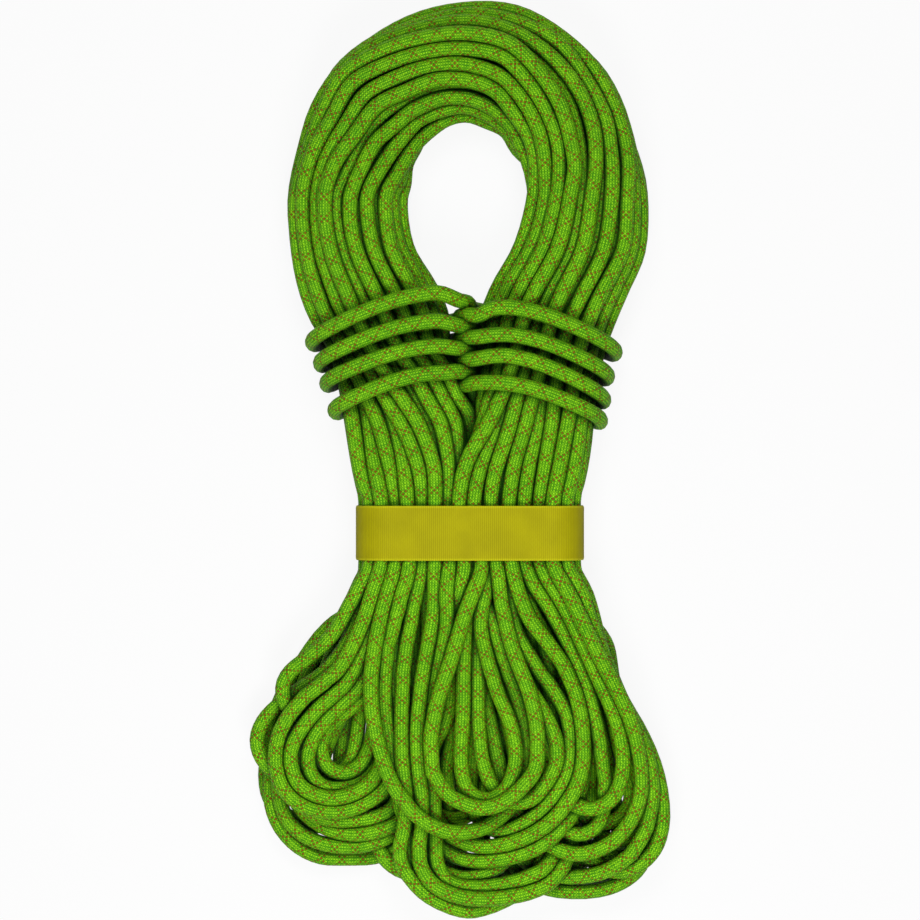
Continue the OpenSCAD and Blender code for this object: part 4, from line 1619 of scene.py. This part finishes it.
def strand_finish(name, low, high, lay, lines_round, line_mm, roughness):
    """Fine yarns that run slantwise round a small strand or across a tape."""
    material, graph, shader = new_material(name)
    around, along = lay(graph)
    slant = (around * lines_round + along * (1000.0 / line_mm)) * math.tau
    fuzz = grain(graph, FUZZ_SCALE, FUZZ_DETAIL)
    height = slant.sin() * SLANT_HEIGHT + fuzz * FUZZ_HEIGHT + STRAND_HEIGHT
    # The raised twist is painted lighter, as light on the relief; the fuzz adds real tone.
    graph.feed(shader.node.inputs["Base Color"], mixed(graph, height, low, high))
    graph.feed(shader.node.inputs["Roughness"], roughness - height * STRAND_SMOOTHER)
    add_bump(graph, shader, height, STRAND_BUMP, STRAND_BUMP_M)
    return material


def core_finish(name, lay):
    """Twisted bundles of white yarn, three yarns to each of the eleven strands."""
    return strand_finish(
        name, CORE_DARK, CORE_LIGHT, lay, lines_round=33.0, line_mm=1.4, roughness=0.85
    )


def tape_finish(name, lay):
    """A tape with fine lines across it."""
    return strand_finish(
        name, TAPE_DARK, TAPE_LIGHT, lay, lines_round=0.0, line_mm=0.5, roughness=0.55
    )


LAYS = {"start_end": end_lay("Y", START_AXIS), "finish_end": end_lay("X", FINISH_AXIS)}
KEPT = {"band_overlap": webbing_finish("overlap_webbing", flat_lay)}
shrunk_tube = sleeve_finish("shrunk_sleeve")
for end, lay in LAYS.items():
    KEPT[f"{end}_sheath"] = braid_finish(f"{end}_braid", lay)
    KEPT[f"{end}_core"] = core_finish(f"{end}_core_yarn", lay)
    KEPT[f"{end}_tape"] = tape_finish(f"{end}_tape", lay)
    KEPT[f"{end}_sleeve"] = shrunk_tube
for node_name, material in KEPT.items():
    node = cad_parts[node_name]
    node.data.materials.clear()
    node.data.materials.append(material)
print("kept solids with a new finish", len(KEPT))

# %% [markdown]
# ## The tacks that close the overlap
#
# The lapped end of the band is held by two bar tacks. A stitch is a short, round
# piece of thread that is thinner at both ends, where it goes through the webbing.
# The tree builds one, puts it on every point of two rows, and turns each copy a
# little.

# %% Stitches
STITCHES, TACK_MM, THREAD_D = 9, 28.0, 0.8
STITCH_MM = 2.3
STITCH_TURN, STITCH_SEED = 0.12, 3
STITCH_STEPS, THREAD_SIDES = 9, 10
THICK_SHARE, THIN_SHARE, THICK_POWER = 0.8, 0.2, 0.4
TACK_XS = (-18.5, 29.5)
TACK_Z = 6.5
THREAD_DARK, THREAD_LIGHT = (0.075, 0.07, 0.003, 1.0), (0.19, 0.18, 0.01, 1.0)


def stitch_tree():
    """A stitch on every point, each turned a little."""
    tree, graph, group_in, group_out = shape_tree(
        "tack_stitches",
        [
            ("Stitch Length", "NodeSocketFloat", STITCH_MM * MM),
            ("Thread Radius", "NodeSocketFloat", THREAD_D / 2 * MM),
            ("Turn", "NodeSocketFloat", STITCH_TURN),
            ("Seed", "NodeSocketInt", STITCH_SEED),
            ("Finish", "NodeSocketMaterial", None),
        ],
    )
    half = Value(graph, group_in.out("Stitch Length")) * 0.5
    start = graph.add("ShaderNodeCombineXYZ", {}, {"Y": -1.0 * half})
    end = graph.add("ShaderNodeCombineXYZ", {}, {"Y": half})
    run = graph.add("GeometryNodeCurvePrimitiveLine", {}, {"Start": start.out(), "End": end.out()})
    fine = graph.add("GeometryNodeResampleCurve", {}, {"Curve": run.out(), "Count": STITCH_STEPS})
    along = graph.add("GeometryNodeSplineParameter").value("Factor")
    swell = (along * math.pi).sin().power(THICK_POWER) * THICK_SHARE + THIN_SHARE
    scaled = swell * Value(graph, group_in.out("Thread Radius"))
    thick = graph.add("GeometryNodeSetCurveRadius", {}, {"Curve": fine.out(), "Radius": scaled})
    settings, sockets = {"mode": "RADIUS"}, {"Resolution": THREAD_SIDES, "Radius": 1.0}
    ring = graph.add("GeometryNodeCurvePrimitiveCircle", settings, sockets)
    radius = graph.add("GeometryNodeInputRadius")
    sockets = {"Curve": thick.out(), "Profile Curve": ring.out(), "Scale": radius.out(), "Fill Caps": True}
    body = graph.add("GeometryNodeCurveToMesh", {}, sockets)
    limit = Value(graph, group_in.out("Turn"))
    low = graph.add("ShaderNodeCombineXYZ", {}, {"Z": -1.0 * limit})
    high = graph.add("ShaderNodeCombineXYZ", {}, {"Z": limit})
    turn = graph.add(
        "FunctionNodeRandomValue",
        {"data_type": "FLOAT_VECTOR"},
        {"Min": low.out(), "Max": high.out(), "Seed": group_in.out("Seed")},
    )
    copies = graph.add(
        "GeometryNodeInstanceOnPoints",
        {},
        {"Points": group_in.out("Geometry"), "Instance": body.out(), "Rotation": turn.out()},
    )
    finished(graph, group_in, group_out, copies)
    return tree


def points_object(name, points_mm):
    """A mesh of loose points, for a tree to put things on."""
    mesh = bpy.data.meshes.new(name)
    mesh.from_pydata([tuple(c * MM for c in p) for p in points_mm], [], [])
    obj = bpy.data.objects.new(name, mesh)
    bpy.context.scene.collection.objects.link(obj)
    return obj


pitch = TACK_MM / STITCHES
first_y = (BAND_LOW + BAND_HIGH - TACK_MM) / 2 + pitch / 2
stitch_places = [(x, first_y + i * pitch, TACK_Z) for x in TACK_XS for i in range(STITCHES)]
# The flat layout counts in millimetres: 0.9 lines to each across and 1000 / 450 along.
thread_finish = strand_finish(
    "thread", THREAD_DARK, THREAD_LIGHT, flat_lay, lines_round=0.9, line_mm=450.0, roughness=0.6
)
stitches = baked(
    points_object("stitch_places", stitch_places),
    stitch_tree(),
    {"Finish": thread_finish},
    "band_tacks",
)
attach(stitches, "root")
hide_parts("band_stitching")
print("stitch mesh", len(stitches.data.polygons), "faces")

# %% [markdown]
# ## The floor
#
# A pale floor, a little below the rope so that the two don't flicker into each
# other. The floor is seen lighter than it is lit: what looks at it directly, in a
# gloss or through glass, sees it glow. That leaves the object's own light alone
# and still keeps its shadow.

# %% Floor
FLOOR_HALF = 3.0
FLOOR_AT = -0.0006
FLOOR_GREY = (0.6, 0.6, 0.6, 1.0)
FLOOR_ROUGHNESS = 0.9
FLOOR_GLOW = 0.9


def looked_at(graph):
    """1 for what is seen directly, in a gloss or through glass, and 0 for light."""
    rays = graph.add("ShaderNodeLightPath")
    direct, in_gloss = rays.value("Is Camera Ray"), rays.value("Is Glossy Ray")
    return direct.most(in_gloss).most(rays.value("Is Transmission Ray"))


floor_mesh = bpy.data.meshes.new("floor")
corners = [(x * FLOOR_HALF, y * FLOOR_HALF, 0.0) for x, y in ((-1, -1), (1, -1), (1, 1), (-1, 1))]
floor_mesh.from_pydata(corners, [], [(0, 1, 2, 3)])
floor = bpy.data.objects.new("floor", floor_mesh)
floor.location.z = FLOOR_AT
bpy.context.scene.collection.objects.link(floor)
floor_material, graph, shader = new_material("floor_white")
shader.node.inputs["Base Color"].default_value = FLOOR_GREY
shader.node.inputs["Roughness"].default_value = FLOOR_ROUGHNESS
glow = graph.add("ShaderNodeEmission", {}, {"Color": WHITE, "Strength": 1.0})
both = graph.add(
    "ShaderNodeMixShader", {}, {0: looked_at(graph) * FLOOR_GLOW, 1: shader.out(), 2: glow.out()}
)
output = next(n for n in graph.tree.nodes if n.type == "OUTPUT_MATERIAL")
graph.feed(output.inputs["Surface"], both.out())
floor_mesh.materials.append(floor_material)
print("floor", 2 * FLOOR_HALF, "m wide")

# %% [markdown]
# ## Soft studio light
#
# Two large lamps overhead, one over each half of the hank, light it evenly at a
# plain level, at which a colour renders about as it is written. The world adds a
# little light from all round, and is white where it is looked at.

# %% Light
WORLD_LIGHT = 0.06
# Each lamp's place and aim, the length of its sides in metres, and its watts.
LAMPS = {
    "key": ((0.0, -0.52, 0.95), (0.0, -0.22, 0.0), 0.4, 9.8),
    "top": ((0.0, 0.62, 1.3), (0.0, 0.2, 0.0), 0.6, 13.5),
}


def lamp(name, place, aim, size, power):
    """A square lamp that faces what it is aimed at."""
    data = bpy.data.lights.new(name, "AREA")
    data.shape = "SQUARE"
    data.size = size
    data.energy = power
    obj = bpy.data.objects.new(name, data)
    obj.location = place
    direction = Vector(aim) - Vector(place)
    obj.rotation_mode = "QUATERNION"
    obj.rotation_quaternion = direction.to_track_quat("-Z", "Y")
    bpy.context.scene.collection.objects.link(obj)


world = bpy.data.worlds.new("studio")
world.use_nodes = True
bpy.context.scene.world = world
sky = Graph(world.node_tree)
sky_out = sky.add("ShaderNodeOutputWorld")
backdrop = looked_at(sky) * (1.0 - WORLD_LIGHT) + WORLD_LIGHT
background = sky.add("ShaderNodeBackground", {}, {"Color": WHITE, "Strength": backdrop})
sky.feed(sky_out.node.inputs["Surface"], background.out())
for name, facts in LAMPS.items():
    lamp(name, *facts)
bpy.context.scene.view_settings.view_transform = "Standard"
print("lamps", len(LAMPS))
